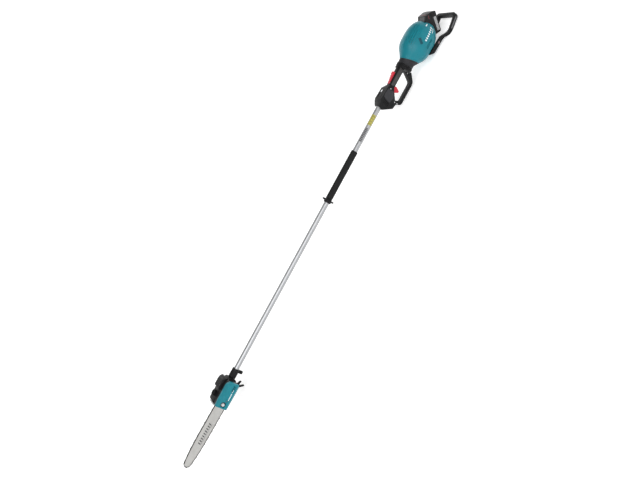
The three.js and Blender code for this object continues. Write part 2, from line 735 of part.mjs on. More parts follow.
function leverSpring() {
  const [x, z] = LEVER_PIVOT;
  const height = 6;
  return piece("lever_spring", coilSpring(2.6, 0.8, height, 3).translate([x + 38, 0, z - 6]), STEEL);
}

function switchBlock() {
  const rear = TRIGGER_PIVOT[0] - SWITCH_SETBACK;
  const top = -TUBE_RADIUS - SWITCH_DROP;
  const body = block([rear - SWITCH_LENGTH, rear], [-SWITCH_HALF_WIDTH, SWITCH_HALF_WIDTH], [
    top - SWITCH_HEIGHT, top,
  ]);
  return piece("switch_block", body, DARK_GREY);
}

// ---- Neck and motor housing ----
function neckCone() {
  const front = GRIP_REAR;
  const rear = NECK_REAR;
  const lip = BULB_FRONT - SEAM;
  const inner = NECK_RADIUS - SHELL_WALL * 2 - SEAM;
  const section = [
    [front, NECK_RADIUS - 8], [front, NECK_RADIUS + 1], [front + 10, NECK_RADIUS + 1],
    [lip, NECK_RADIUS], [lip, inner], [rear, inner], [rear, inner - SHELL_WALL],
    [front + 8, inner - SHELL_WALL], [front + 8, NECK_RADIUS - 16], [front, NECK_RADIUS - 16],
    [front, NECK_RADIUS - 8],
  ];
  return piece("neck_cone", turned(section, LARGE_ROUND).translate([0, 0, -BULB_DROP]), DARK_GREY);
}

// The motor housing's outline: how far along from the front rim, and how wide, as shares of its
// length and radius.
const SHELL_SHAPE = [
  [0, NECK_RADIUS / BULB_RADIUS], [0.1, 0.68], [0.2, 0.87], [0.3, 0.975], [0.42, 1], [0.55, 1],
  [0.68, 0.965], [0.8, 0.86], [0.9, 0.66], [0.97, 0.42], [1, 0.25],
];

function bulbProfile(inset) {
  const curve = new THREE.SplineCurve(SHELL_SHAPE.map(([share, wide]) => new THREE.Vector2(share, wide)));
  const steps = 2 * (SHELL_SHAPE.length - 1);
  const outline = curve.getPoints(steps).map((point) => [
    BULB_FRONT + inset + point.x * (BULB_LENGTH - 2 * inset),
    Math.min(point.y, 1) * BULB_RADIUS - inset,
  ]);
  return [[outline[0][0], 0], ...outline, [outline[steps][0], 0]];
}

const bulbSolid = (inset) => turned(bulbProfile(inset), LARGE_ROUND).translate([0, 0, -BULB_DROP]);

// The battery's own directions: "slide" is the way that it comes off, "out" points away from the housing.
function batteryBlock(slide, across, out) {
  const made = new THREE.BoxGeometry(out[1] - out[0], across[1] - across[0], slide[1] - slide[0]);
  made.translate((out[0] + out[1]) / 2, (across[0] + across[1]) / 2, (slide[0] + slide[1]) / 2);
  made.rotateY(LEAN);
  return solid(made.translate(BATTERY_CENTRE[0], 0, BATTERY_CENTRE[1]));
}

// The bay that the battery slides into: open at its top end and at the back.
function batteryBay(grow) {
  const half = BATTERY_LENGTH / 2;
  const wide = BATTERY_WIDTH / 2 + BATTERY_GAP + grow;
  return batteryBlock(
    [-half - BATTERY_GAP - grow, 2 * BATTERY_LENGTH],
    [-wide, wide],
    [-BATTERY_DEPTH / 2 - BATTERY_GAP - grow - TERMINAL_HEIGHT, BATTERY_DEPTH * 2],
  );
}

function motorShells() {
  const hollow = bulbSolid(SHELL_WALL).subtract(batteryBay(SHELL_WALL));
  const wall = (x, bore) => rodX(x, x + BULKHEAD, BULB_RADIUS - CUT_PAST, LARGE_ROUND)
    .translate([0, 0, -BULB_DROP])
    .intersect(bulbSolid(SHELL_WALL / 2))
    .subtract(rodX(x - CUT_PAST, x + BULKHEAD + CUT_PAST, bore));
  const bearings = bearingPlaces();
  const rimBore = rodX(BULB_FRONT - CUT_PAST, BULB_FRONT + SHELL_WALL * 2, NECK_RADIUS - SHELL_WALL * 2)
    .translate([0, 0, -BULB_DROP]);
  const whole = bulbSolid(0)
    .subtract(hollow)
    .subtract(rimBore)
    .add(wall(bearings.front + BEARING_WIDTH / 2, BEARING_RADIUS + SEAM))
    .add(wall(bearings.rear + BEARING_WIDTH / 2, BEARING_RADIUS + SEAM))
    .subtract(batteryBay(0));
  const reach = 3 * BULB_RADIUS;
  return [
    ["motor_shell_left", -1],
    ["motor_shell_right", 1],
  ].map(([name, side]) => {
    const half = whole.intersect(halfSpace(side, reach, BULB_FRONT - CUT_PAST, BULB_REAR + CUT_PAST));
    const bodies = half.decompose().sort((a, b) => b.volume() - a.volume());
    return piece(name, bodies[0], TEAL);
  });
}

function bearingPlaces() {
  return {
    front: ROTOR_FRONT - BEARING_WIDTH - BULKHEAD,
    rear: ROTOR_REAR + FAN_THICKNESS + BULKHEAD * 2,
  };
}

function motorBearings() {
  const bearings = bearingPlaces();
  return [
    ["motor_bearing_front", bearings.front],
    ["motor_bearing_rear", bearings.rear],
  ].map(([name, x]) =>
    piece(name, ringX(x, x + BEARING_WIDTH, MOTOR_SHAFT_RADIUS + RUNNING, BEARING_RADIUS), STEEL),
  );
}

function motorRotor() {
  const bearings = bearingPlaces();
  const front = ROTOR_FRONT - BEARING_WIDTH - BULKHEAD * 3 + SEAM;
  const section = [
    [front, 0], [front, MOTOR_SHAFT_RADIUS], [ROTOR_FRONT, MOTOR_SHAFT_RADIUS], [ROTOR_FRONT, ROTOR_RADIUS],
    [ROTOR_REAR, ROTOR_RADIUS], [ROTOR_REAR, MOTOR_SHAFT_RADIUS],
    [bearings.rear + BEARING_WIDTH, MOTOR_SHAFT_RADIUS], [bearings.rear + BEARING_WIDTH, 0],
  ];
  return piece("motor_rotor", turned(section), DARK_STEEL);
}

function motorStator() {
  const core = ringX(ROTOR_FRONT, ROTOR_REAR, ROTOR_RADIUS + AIR_GAP, STATOR_RADIUS, LARGE_ROUND);
  return piece("motor_stator", core, COPPER);
}

function coolingFan() {
  const front = ROTOR_REAR + BULKHEAD;
  const hub = ringX(front, front + FAN_THICKNESS, MOTOR_SHAFT_RADIUS + SEAM, MOTOR_SHAFT_RADIUS * 2.4);
  const disc = ringX(front, front + 2, MOTOR_SHAFT_RADIUS * 2, FAN_RADIUS);
  let fan = hub.add(disc);
  for (let i = 0; i < FAN_BLADES; i++) {
    const blade = block([front, front + FAN_THICKNESS], [-1, 1], [MOTOR_SHAFT_RADIUS * 2, FAN_RADIUS - 1]);
    fan = fan.add(blade.rotate([(i * 360) / FAN_BLADES, 0, 0]));
  }
  return piece("cooling_fan", fan, DARK_GREY);
}

function motorController() {
  const high = -STATOR_RADIUS - CONTROLLER_GAP;
  const half = CONTROLLER_WIDTH / 2;
  const body = block([ROTOR_FRONT, ROTOR_FRONT + CONTROLLER_LENGTH], [-half, half], [
    high - CONTROLLER_THICKNESS, high,
  ]);
  return piece("motor_controller", body, BOARD);
}

// The terminal block stands on the floor of the battery bay.
function terminalBlock() {
  const floor = -BATTERY_DEPTH / 2 - BATTERY_GAP - TERMINAL_HEIGHT;
  const body = batteryBlock(
    [-BATTERY_LENGTH / 4, BATTERY_LENGTH / 4],
    [-BATTERY_WIDTH / 4, BATTERY_WIDTH / 4],
    [floor + SEAM, floor + TERMINAL_HEIGHT],
  );
  return piece("terminal_block", body, BLACK);
}

// ---- Battery ----
// An outline in the battery's own (out, slide) directions, pushed across it.
function batteryOutline(points, low, high) {
  const [x, z] = BATTERY_CENTRE;
  const [sin, cos] = [Math.sin(LEAN), Math.cos(LEAN)];
  const turned = points.map(([out, slide]) => [x + out * cos + slide * sin, z - out * sin + slide * cos]);
  return acrossY(turned, low, high);
}

function batteryParts() {
  const half = BATTERY_LENGTH / 2;
  const wide = BATTERY_WIDTH / 2;
  const deep = BATTERY_DEPTH / 2;
  const split = -deep + BATTERY_LID;
  const w = BATTERY_WALL;
  const slopeTop = half - SLOPE_DROP;
  const whole = batteryOutline([
    [-deep, -half], [deep - 2, -half + 7], [deep, half - 4.4], [BATTERY_CROWN, half],
    [-deep + SLOPE_OUT, slopeTop], [-deep, slopeTop - SLOPE_SLIDE],
  ], -wide, wide);
  const room = [-half + 4 * w, half - 4.8 * w];
  const shellCase = whole
    .intersect(batteryBlock([-half, half], [-wide, wide], [split + SEAM, deep]))
    .subtract(batteryBlock(room, [-wide + w, wide - w], [split - 1, deep - w]));
  const lid = whole
    .intersect(batteryBlock([-half, half], [-wide, wide], [-deep, split]))
    .subtract(batteryBlock(
      [-half + w, slopeTop - SLOPE_SLIDE - w],
      [-wide + w, wide - w],
      [-deep + w, split + 1],
    ))
    .subtract(latchSlab(SEAM, LATCH_TRAVEL));
  const cells = batteryBlock(
    [room[0] + w, room[1] - w],
    [-wide + 2 * w, wide - 2 * w],
    [split + SEAM + 1, deep - 2 * w],
  );
  return [
    piece("battery_case", shellCase, BLACK),
    piece("battery_lid", lid, BLACK),
    piece("battery_cells", cells, DARK_GREY),
  ];
}

// The latch lies in the sloped corner and is pressed straight into it.
function latchSlab(grow, travel) {
  const long = Math.hypot(SLOPE_OUT, SLOPE_SLIDE);
  const [outwards, slidewards] = [SLOPE_OUT / long, SLOPE_SLIDE / long];
  const foot = [-BATTERY_DEPTH / 2, BATTERY_LENGTH / 2 - SLOPE_DROP - SLOPE_SLIDE];
  const start = (long - LATCH_LENGTH) / 2;
  const at = (along, inward) => [
    foot[0] + along * outwards + inward * slidewards,
    foot[1] + along * slidewards - inward * outwards,
  ];
  const low = grow ? -CUT_PAST : 0;
  const high = LATCH_THICKNESS + grow + travel;
  return batteryOutline(
    [
      at(start - grow, low), at(start - grow, high),
      at(start + LATCH_LENGTH + grow, high), at(start + LATCH_LENGTH + grow, low),
    ],
    -LATCH_WIDTH / 2 - grow,
    LATCH_WIDTH / 2 + grow,
  );
}

function batteryLatch() {
  return piece("battery_latch", latchSlab(0, 0), DARK_GREY);
}

// ---- Rear guard frame ----
function guardFrame() {
  const low = GUARD_FOOT;
  const side = [
    [GUARD_START, -88], [GUARD_START + 22, low + 12], [GUARD_BEND - 34, low + 11], [GUARD_BEND - 12, low],
    [GUARD_BEND + 14, low], [GUARD_REAR - 8, low + 13], [GUARD_REAR, low + 21], [GUARD_REAR, low + 37],
    [GUARD_REAR - GUARD_BAR, low + 37], [GUARD_REAR - GUARD_BAR - 4, low + 31], [GUARD_BEND + 8, low + 17],
    [GUARD_BEND - 8, low + 17], [GUARD_BEND - 36, low + 29], [GUARD_START + 20, low + 33],
  ];
  const front = GUARD_HALF_FRONT;
  const rear = GUARD_HALF_REAR;
  const half = GUARD_BAR / 2;
  const inner = GUARD_REAR - GUARD_BAR;
  const right = [
    [GUARD_START, front + half], [GUARD_BEND - 40, front + half + 4],
    [GUARD_BEND, rear + half], [GUARD_REAR - 10, rear + half], [GUARD_REAR, rear + half - 10],
  ];
  const gap = [
    [GUARD_START, front - half], [GUARD_BEND - 34, front - half + 4], [GUARD_BEND + 6, rear - half],
    [inner, rear - half],
  ].reverse();
  const plan = [...right, ...mirrorY(right).reverse(), ...mirrorY(gap).reverse(), ...gap];
  const frame = acrossY(side, -BULB_RADIUS * 2, BULB_RADIUS * 2).intersect(upZ(plan, 2 * low, 0));
  return piece("guard_frame", frame.subtract(bulbSolid(-SEAM)), BLACK);
}

// ---- Bevel gears ----

// A toothed outline that shrinks towards the point where the two gear axes meet. It stands along X.
function bevelBody(teeth, axial, turn) {
  const radius = (GEAR_MODULE * teeth) / 2;
  const addendum = 1.5;
  const dedendum = 2.1;
  const points = toothed(teeth, radius - dedendum, radius + addendum, 0.66, 0.26, turn);
  const depth = axial * GEAR_FACE_SHARE;
  const made = extruded(points, depth);
  const place = made.getAttribute("position");
  for (let i = 0; i < place.count; i++) {
    const scale = 1 - (place.getZ(i) / depth) * GEAR_FACE_SHARE;
    place.setXY(i, place.getX(i) * scale, place.getY(i) * scale);
  }
  made.applyMatrix4(along(PLUS_Z, PLUS_Y, PLUS_X.clone().negate()));
  return solid(made.translate(axial, 0, 0));
}

function bevelPinion() {
  const axial = (GEAR_MODULE * GEAR_TEETH) / 2;
  return bevelBody(PINION_TEETH, axial, 0.5).translate([SPINDLE, 0, 0]);
}

function sprocketSpindle() {
  const axial = (GEAR_MODULE * PINION_TEETH) / 2;
  const gear = bevelBody(GEAR_TEETH, axial, 0).rotate([0, 0, -90]);
  const rod = rodX(-BAR_PLANE - 12, 12, SPINDLE_RADIUS, SMALL_ROUND).rotate([0, 0, 90]);
  const collar = rodX(-axial - CASE_WALL, -axial + SEAM, SPINDLE_RADIUS * 2).rotate([0, 0, 90]);
  const wheel = acrossY(
    toothed(SPROCKET_TEETH, SPROCKET_RADIUS - 3, SPROCKET_RADIUS, 0.6, 0.3),
    -BAR_PLANE - CHAIN_HALF_THICKNESS,
    -BAR_PLANE + CHAIN_HALF_THICKNESS,
  );
  const body = gear.add(rod).add(collar).add(wheel).translate([SPINDLE, 0, 0]);
  return piece("sprocket_spindle", body, STEEL);
}

// ---- Gear case ----
function gearCase() {
  const w = CASE_HALF_WIDTH;
  const side = [
    [CASE_FRONT + 10, CASE_BOTTOM], [HEAD_REAR - 12, CASE_BOTTOM], [HEAD_REAR, -COLLAR_RADIUS],
    [HEAD_REAR, COLLAR_RADIUS], [HEAD_REAR - 10, CASE_TOP], [CASE_FRONT + 6, CASE_TOP],
    [CASE_FRONT, CASE_TOP - 8], [CASE_FRONT, CASE_BOTTOM + 14],
  ];
  const body = acrossY(side, -w + CASE_WALL + SEAM, w);
  const room = block([SPINDLE - 24, SPINDLE + 30], [-w - CUT_PAST, w - CASE_WALL], [-23, 23]);
  const socket = rodX(HEAD_REAR - CASE_WALL * 4 - SEAM, HEAD_REAR + CUT_PAST, INNER_RADIUS + SEAM);
  const shaftRoom = rodX(SPINDLE + 10, HEAD_REAR, SHAFT_TUBE_RADIUS + 1);
  return piece("gear_case", body.subtract(room).subtract(socket).subtract(shaftRoom), BLACK);
}

// The case's left side: it carries the spindle bearing, the bar seat and the stud.
function gearCaseCover() {
  const w = CASE_HALF_WIDTH;
  const side = [
    [CASE_FRONT + 10, CASE_BOTTOM], [HEAD_REAR - 14, CASE_BOTTOM], [HEAD_REAR - 8, 0],
    [HEAD_REAR - 14, CASE_TOP], [CASE_FRONT + 6, CASE_TOP], [CASE_FRONT, CASE_TOP - 8],
    [CASE_FRONT, CASE_BOTTOM + 14],
  ];
  const plate = acrossY(side, -w, -w + CASE_WALL);
  const seat = block(
    [SPINDLE - STUD_SETBACK - 14, SPINDLE - BAR_TAIL - 4],
    [-BAR_PLANE + BAR_THICKNESS / 2 + SEAM, -w + SEAM],
    [-11, 11],
  );
  const bearingSeat = rodY(SPINDLE, 0, SPINDLE_BEARING_RADIUS + SEAM, -w - CUT_PAST, w, ROUND);
  const stud = rodY(SPINDLE - STUD_SETBACK, 0, STUD_RADIUS + SEAM, -BAR_PLANE, w);
  return piece("gear_case_cover", plate.add(seat).subtract(bearingSeat).subtract(stud), DARK_GREY);
}

function spindleBearing() {
  const w = CASE_HALF_WIDTH;
  const ring = ringX(-w, -w + CASE_WALL, SPINDLE_RADIUS + RUNNING, SPINDLE_BEARING_RADIUS);
  return piece("spindle_bearing", toY(ring, SPINDLE, 0), STEEL);
}

function oilPump() {
  const y = [14, CASE_HALF_WIDTH - CASE_WALL - SEAM];
  const body = block([SPINDLE - 14, SPINDLE + 12], y, [-12, 12]);
  return piece("oil_pump", body, DARK_GREY);
}

function oilTank() {
  const low = CASE_TOP + SEAM;
  const left = -CASE_HALF_WIDTH;
  const humpFront = HEAD_REAR - TANK_HUMP;
  const outline = (inset) => [
    [CASE_FRONT + 4 + inset, low + inset], [HEAD_REAR - 10 - inset, low + inset],
    [HEAD_REAR - 6 - inset, low + 8], [HEAD_REAR - 16 - inset, TANK_TOP - 5 - inset],
    [HEAD_REAR - 26 - inset, TANK_TOP - inset], [humpFront + inset, TANK_TOP - inset],
    [humpFront + inset, TANK_STEP - inset], [CASE_FRONT + 4 + inset, TANK_STEP - inset],
  ];
  const w = TANK_WALL;
  const mouth = rodZ(CASE_FRONT + CAP_SETBACK + 12, 0, CAP_NECK_RADIUS + SEAM, low + w, TANK_TOP);
  const body = acrossY(outline(0), left, TANK_RIGHT)
    .subtract(acrossY(outline(w), left + w, TANK_RIGHT - w))
    .subtract(mouth);
  return piece("oil_tank", body, BLACK);
}

function oilCap() {
  const x = CASE_FRONT + CAP_SETBACK + 12;
  const low = TANK_STEP + SEAM;
  const top = toothed(12, CAP_RADIUS - 1.5, CAP_RADIUS, 0.7, 0.5);
  const plug = rodZ(x, 0, CAP_NECK_RADIUS - SEAM, TANK_STEP - TANK_WALL, low + SEAM);
  return piece("oil_cap", upZ(top, low, low + CAP_HEIGHT).translate([x, 0, 0]).add(plug), BLACK);
}

// ---- Bar, chain and cover ----

// Half the width of the bar at a distance in front of the spindle.
function barHalfWidth(distance) {
  if (distance < BAR_TAPER) {
    return THREE.MathUtils.lerp(SPROCKET_RADIUS, BAR_HALF_WIDTH, distance / BAR_TAPER);
  }
  const t = Math.max(0, (distance - BAR_WIDEST) / (NOSE_CENTRE - BAR_WIDEST));
  return BAR_HALF_WIDTH - (BAR_HALF_WIDTH - BAR_NOSE_RADIUS) * t ** 4;
}

// Outline of the bar, grown by an amount: its two long edges and a round nose.
function barOutline(grow, tail) {
  const steps = 10;
  const distances = tail < BAR_TAPER ? [tail] : [];
  for (let i = 0; i <= steps; i++) distances.push(BAR_TAPER + ((NOSE_CENTRE - BAR_TAPER) * i) / steps);
  const upper = distances.map((distance) => [-distance, barHalfWidth(distance) + grow]);
  const nose = [];
  const arcs = 12;
  for (let i = 1; i < arcs; i++) {
    const angle = Math.PI / 2 + (Math.PI * i) / arcs;
    const r = BAR_NOSE_RADIUS + grow;
    nose.push([-NOSE_CENTRE + r * Math.cos(angle), r * Math.sin(angle)]);
  }
  const lower = upper.map(([x, z]) => [x, -z]).reverse();
  return [...upper, ...nose, ...lower];
}

function guideBar() {
  const half = BAR_THICKNESS / 2;
  const room = NOSE_SPROCKET_THICKNESS / 2 + RUNNING;
  const slotRadius = NOSE_SPROCKET_RADIUS + 1.5;
  const slot = rodY(-NOSE_CENTRE, 0, slotRadius, -BAR_PLANE - room, -BAR_PLANE + room, ROUND).add(
    block([-BAR_REACH, -NOSE_CENTRE], [-BAR_PLANE - room, -BAR_PLANE + room], [
      -NOSE_SPROCKET_RADIUS, NOSE_SPROCKET_RADIUS,
    ]),
  );
  const rivet = rodY(-NOSE_CENTRE, 0, NOSE_PIN_RADIUS, -BAR_PLANE - half, -BAR_PLANE + half);
  const studSlot = block(
    [-STUD_SETBACK - 9, -STUD_SETBACK + 9],
    [-BAR_PLANE - BAR_THICKNESS, -BAR_PLANE + BAR_THICKNESS],
    [-STUD_RADIUS - 1.8, STUD_RADIUS + 1.8],
  );
  const body = acrossY(barOutline(0, BAR_TAIL), -BAR_PLANE - half, -BAR_PLANE + half)
    .subtract(slot)
    .add(rivet)
    .subtract(studSlot);
  return piece("guide_bar", body, BAR_STEEL);
}

function noseSprocket() {
  const half = NOSE_SPROCKET_THICKNESS / 2;
  const wheel = acrossY(
    toothed(NOSE_SPROCKET_TEETH, NOSE_SPROCKET_RADIUS - 2, NOSE_SPROCKET_RADIUS, 0.6, 0.3),
    -BAR_PLANE - half,
    -BAR_PLANE + half,
  ).translate([-NOSE_CENTRE, 0, 0]);
  const bore = rodY(-NOSE_CENTRE, 0, NOSE_PIN_RADIUS + RUNNING, -BAR_PLANE - 2, -BAR_PLANE + 2);
  return piece("nose_sprocket", wheel.subtract(bore), STEEL);
}

// The chain runs round the bar and back over the drive sprocket.
function chainOutline(grow) {
  const front = barOutline(grow, BAR_TAPER);
  const wheel = [];
  const arcs = 10;
  const r = SPROCKET_RADIUS + grow;
  for (let i = 0; i <= arcs; i++) {
    const angle = -Math.PI / 2 + (Math.PI * i) / arcs;
    wheel.push([r * Math.cos(angle), r * Math.sin(angle)]);
  }
  return [...front, ...wheel];
}

function sawChain() {
  const band = acrossY(
    chainOutline(SEAM + CHAIN_HEIGHT),
    -BAR_PLANE - CHAIN_HALF_THICKNESS,
    -BAR_PLANE + CHAIN_HALF_THICKNESS,
    [chainOutline(SEAM)],
  );
  return piece("saw_chain", band, DARK_STEEL);
}

function coverOutline(inset) {
  return [
    [CASE_FRONT + inset, COVER_BOTTOM + 3 + inset], [CASE_FRONT + 36, COVER_BOTTOM + 2 + inset],
    [CASE_FRONT + 66, COVER_BOTTOM + inset], [HEAD_REAR - 18 - inset, COVER_BOTTOM + inset],
    [HEAD_REAR - 6 - inset, COVER_BOTTOM + 10 + inset], [HEAD_REAR - 6 - inset, COVER_TOP - 16 - inset],
    [HEAD_REAR - 22 - inset, COVER_TOP - inset], [CASE_FRONT + 50, COVER_TOP - inset],
    [CASE_FRONT + inset, COVER_TOP - 2 - inset],
  ];
}

// The cover's section across its length, with the sloped lower edge.
function coverSection(inset) {
  const far = -COVER_SIDE + inset;
  const low = COVER_BOTTOM + inset;
  const high = 2 * COVER_TOP;
  const section = [
    [far, low + COVER_CHAMFER], [far + COVER_CHAMFER, low], [0, low], [0, high], [far, high],
  ];
  return alongX(section, CASE_FRONT - CUT_PAST, HEAD_REAR);
}

function sprocketCover() {
  const w = CASE_HALF_WIDTH;
  const near = -w - SEAM;
  const body = acrossY(coverOutline(0), -COVER_SIDE, near).intersect(coverSection(0));
  const hollow = acrossY(coverOutline(COVER_WALL), -COVER_SIDE + COVER_WALL, near + CUT_PAST)
    .intersect(coverSection(COVER_WALL));
  const mouth = block(
    [CASE_FRONT - CUT_PAST, CASE_FRONT + COVER_WALL * 3],
    [-BAR_PLANE - 10, near + CUT_PAST],
    [COVER_BOTTOM + 3 + COVER_WALL, COVER_TOP - 2 - COVER_WALL],
  );
  const x = SPINDLE - STUD_SETBACK;
  const recess = rodY(x, 0, NUT_RADIUS + 4, -COVER_SIDE - CUT_PAST, -COVER_SIDE + NUT_HEIGHT, ROUND);
  const pad = rodY(x, 0, NUT_RADIUS + 6.5, -COVER_SIDE + 1, -BAR_PLANE - CHAIN_HEIGHT, ROUND);
  const studHole = rodY(x, 0, STUD_RADIUS + SEAM, -COVER_SIDE - CUT_PAST, 0);
  const [sx, sz] = tensionerPlace();
  const screwHole = rodY(sx, sz, TENSIONER_RADIUS + SEAM, -COVER_SIDE - CUT_PAST, 0);
  const made = body.subtract(hollow).subtract(mouth).add(pad).subtract(recess).subtract(studHole)
    .subtract(screwHole);
  return piece("sprocket_cover", made, TEAL);
}

function tensionerPlace() {
  return [SPINDLE - TENSIONER_SETBACK, -SPROCKET_RADIUS / 2];
}

function barFasteners() {
  const x = SPINDLE - STUD_SETBACK;
  const nutFloor = -COVER_SIDE + NUT_HEIGHT - SEAM;
  const stud = rodY(x, 0, STUD_RADIUS, nutFloor - NUT_HEIGHT, -CASE_HALF_WIDTH + CASE_WALL);
  const nutTop = nutFloor - NUT_HEIGHT;
  const nut = rodY(x, 0, NUT_RADIUS, nutTop, nutFloor, 6)
    .subtract(rodY(x, 0, STUD_RADIUS + SEAM, nutTop - CUT_PAST, nutFloor + CUT_PAST));
  const [sx, sz] = tensionerPlace();
  const screw = rodY(sx, sz, TENSIONER_RADIUS, -COVER_SIDE - 0.5, -BAR_PLANE - BAR_THICKNESS);
  return [
    piece("bar_stud", stud, STEEL),
    piece("bar_nut", nut, SILVER),
    piece("tension_screw", screw, STEEL),
  ];
}

// Toothed plate at the front of the case that holds against the branch.
function bumperSpike() {
  const front = CASE_FRONT - SEAM;
  const root = CASE_TOP - SPIKE_DROP;
  const plate = [[front, root], [front - SPIKE_THICKNESS, root]];
  for (let i = 0; i < SPIKES; i++) {
    plate.push([front - SPIKE_REACH, root + SPIKE_PITCH * (i + 0.6)]);
    plate.push([front - SPIKE_THICKNESS, root + SPIKE_PITCH * (i + 1)]);
  }
  plate.push([front, root + SPIKE_PITCH * SPIKES]);
  const half = CASE_HALF_WIDTH - SPIKE_THICKNESS;
  return piece("bumper_spike", acrossY(plate, -half, half), STEEL);
}

// Two prongs behind the cover, for pulling cut branches down.
function branchHook() {
  const rear = HEAD_REAR - 12;
  const top = CASE_BOTTOM - SEAM;
  const side = [
    [rear - 40, top], [rear - 4, top], [rear + 22, top - 10], [rear + 20, top - 18], [rear - 6, top - 12],
    [rear + 10, HOOK_BOTTOM + 4], [rear + 3, HOOK_BOTTOM], [rear - 20, top - 12], [rear - 40, top - 10],
  ];
  return piece("branch_hook", acrossY(side, -CASE_HALF_WIDTH, -CASE_HALF_WIDTH + HOOK_THICKNESS), BLACK);
}

// ---- Assembly ----
function barGroup() {
  const group = new THREE.Group();
  group.add(guideBar(), sawChain(), noseSprocket());
  group.position.set(SPINDLE, 0, 0);
  group.rotation.y = THREE.MathUtils.degToRad(BAR_TILT);
  return group;
}

const bushes = shaftBushes();
const saw = new THREE.Group();
saw.add(outerTube(), lockCollar(), lockKnob(), foamGrip(), handStop(), bushes.rear);
saw.add(...handleHalves(), ...handleScrews(), tubeClamp());
saw.add(controlPanel(), ...controlButtons(), indicatorLens());
saw.add(trigger(), lockOffLever(), ...pivotPins(), triggerSpring(), leverSpring(), switchBlock());
saw.add(neckCone(), ...motorShells(), ...motorBearings(), motorRotor(), motorStator(), coolingFan());
saw.add(motorController(), terminalBlock(), rearDriveShaft());
saw.add(...batteryParts(), batteryLatch(), guardFrame());
saw.add(innerTube(), bushes.front, frontDriveShaft(), sprocketSpindle(), spindleBearing());
saw.add(gearCase(), gearCaseCover(), oilPump(), oilTank(), oilCap());
saw.add(barGroup(), sprocketCover(), ...barFasteners(), bumperSpike(), branchHook());

const box = new THREE.Box3().setFromObject(saw);
const middle = box.getCenter(new THREE.Vector3());
saw.position.set(-middle.x, -middle.y, -box.min.z);

const poleSaw = new THREE.Group();
poleSaw.add(saw);
export default poleSaw;
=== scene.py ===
import json
import math

import bmesh
import bpy
from mathutils import Matrix, Vector

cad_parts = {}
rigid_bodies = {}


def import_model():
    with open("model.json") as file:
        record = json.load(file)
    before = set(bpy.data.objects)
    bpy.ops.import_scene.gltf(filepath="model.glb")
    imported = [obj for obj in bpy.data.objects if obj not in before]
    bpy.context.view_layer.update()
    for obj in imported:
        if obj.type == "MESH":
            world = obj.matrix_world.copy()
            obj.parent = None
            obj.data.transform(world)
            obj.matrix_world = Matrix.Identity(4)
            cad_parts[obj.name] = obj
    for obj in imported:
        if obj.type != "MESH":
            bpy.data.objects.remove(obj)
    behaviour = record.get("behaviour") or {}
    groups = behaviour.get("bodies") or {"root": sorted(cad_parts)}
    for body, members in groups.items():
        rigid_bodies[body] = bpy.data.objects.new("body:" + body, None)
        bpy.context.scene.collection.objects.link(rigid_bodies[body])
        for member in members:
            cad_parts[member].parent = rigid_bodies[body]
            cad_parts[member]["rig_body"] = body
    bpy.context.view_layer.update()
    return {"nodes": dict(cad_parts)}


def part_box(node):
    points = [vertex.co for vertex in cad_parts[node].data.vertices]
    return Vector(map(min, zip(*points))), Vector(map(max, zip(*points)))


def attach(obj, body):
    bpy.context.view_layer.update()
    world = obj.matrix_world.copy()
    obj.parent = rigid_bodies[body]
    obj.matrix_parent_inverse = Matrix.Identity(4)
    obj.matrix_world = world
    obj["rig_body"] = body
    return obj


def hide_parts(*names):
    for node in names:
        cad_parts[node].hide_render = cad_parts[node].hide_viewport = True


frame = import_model()
NODES = frame["nodes"]

MM = 0.001
HOUSING_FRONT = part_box("handle_left")[0].x / MM
POLE_AXIS = (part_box("outer_tube")[0].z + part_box("outer_tube")[1].z) / 2 / MM
HOME = Vector((HOUSING_FRONT, 0, POLE_AXIS))
SEAM = 0.25


def spot(x, y, z):
    """A place given in millimetres from the control housing's front face on the pole's axis."""
    return (Vector((x, y, z)) + HOME) * MM


# ---------------------------------------------------------------- shader maths


class Signal:
    """An output socket that takes part in Python arithmetic by adding Math nodes."""

    def __init__(self, paint, socket):
        self.paint = paint
        self.socket = socket

    def maths(self, operation, first, second):
        return self.paint.node("ShaderNodeMath", {"operation": operation}, {0: first, 1: second})

    def __add__(self, other):
        return self.maths("ADD", self, other)

    def __sub__(self, other):
        return self.maths("SUBTRACT", self, other)

    def __mul__(self, other):
        return self.maths("MULTIPLY", self, other)

    def __rsub__(self, other):
        return self.maths("SUBTRACT", other, self)

    def above(self, other):
        return self.maths("GREATER_THAN", self, other)

    __radd__ = __add__
    __rmul__ = __mul__


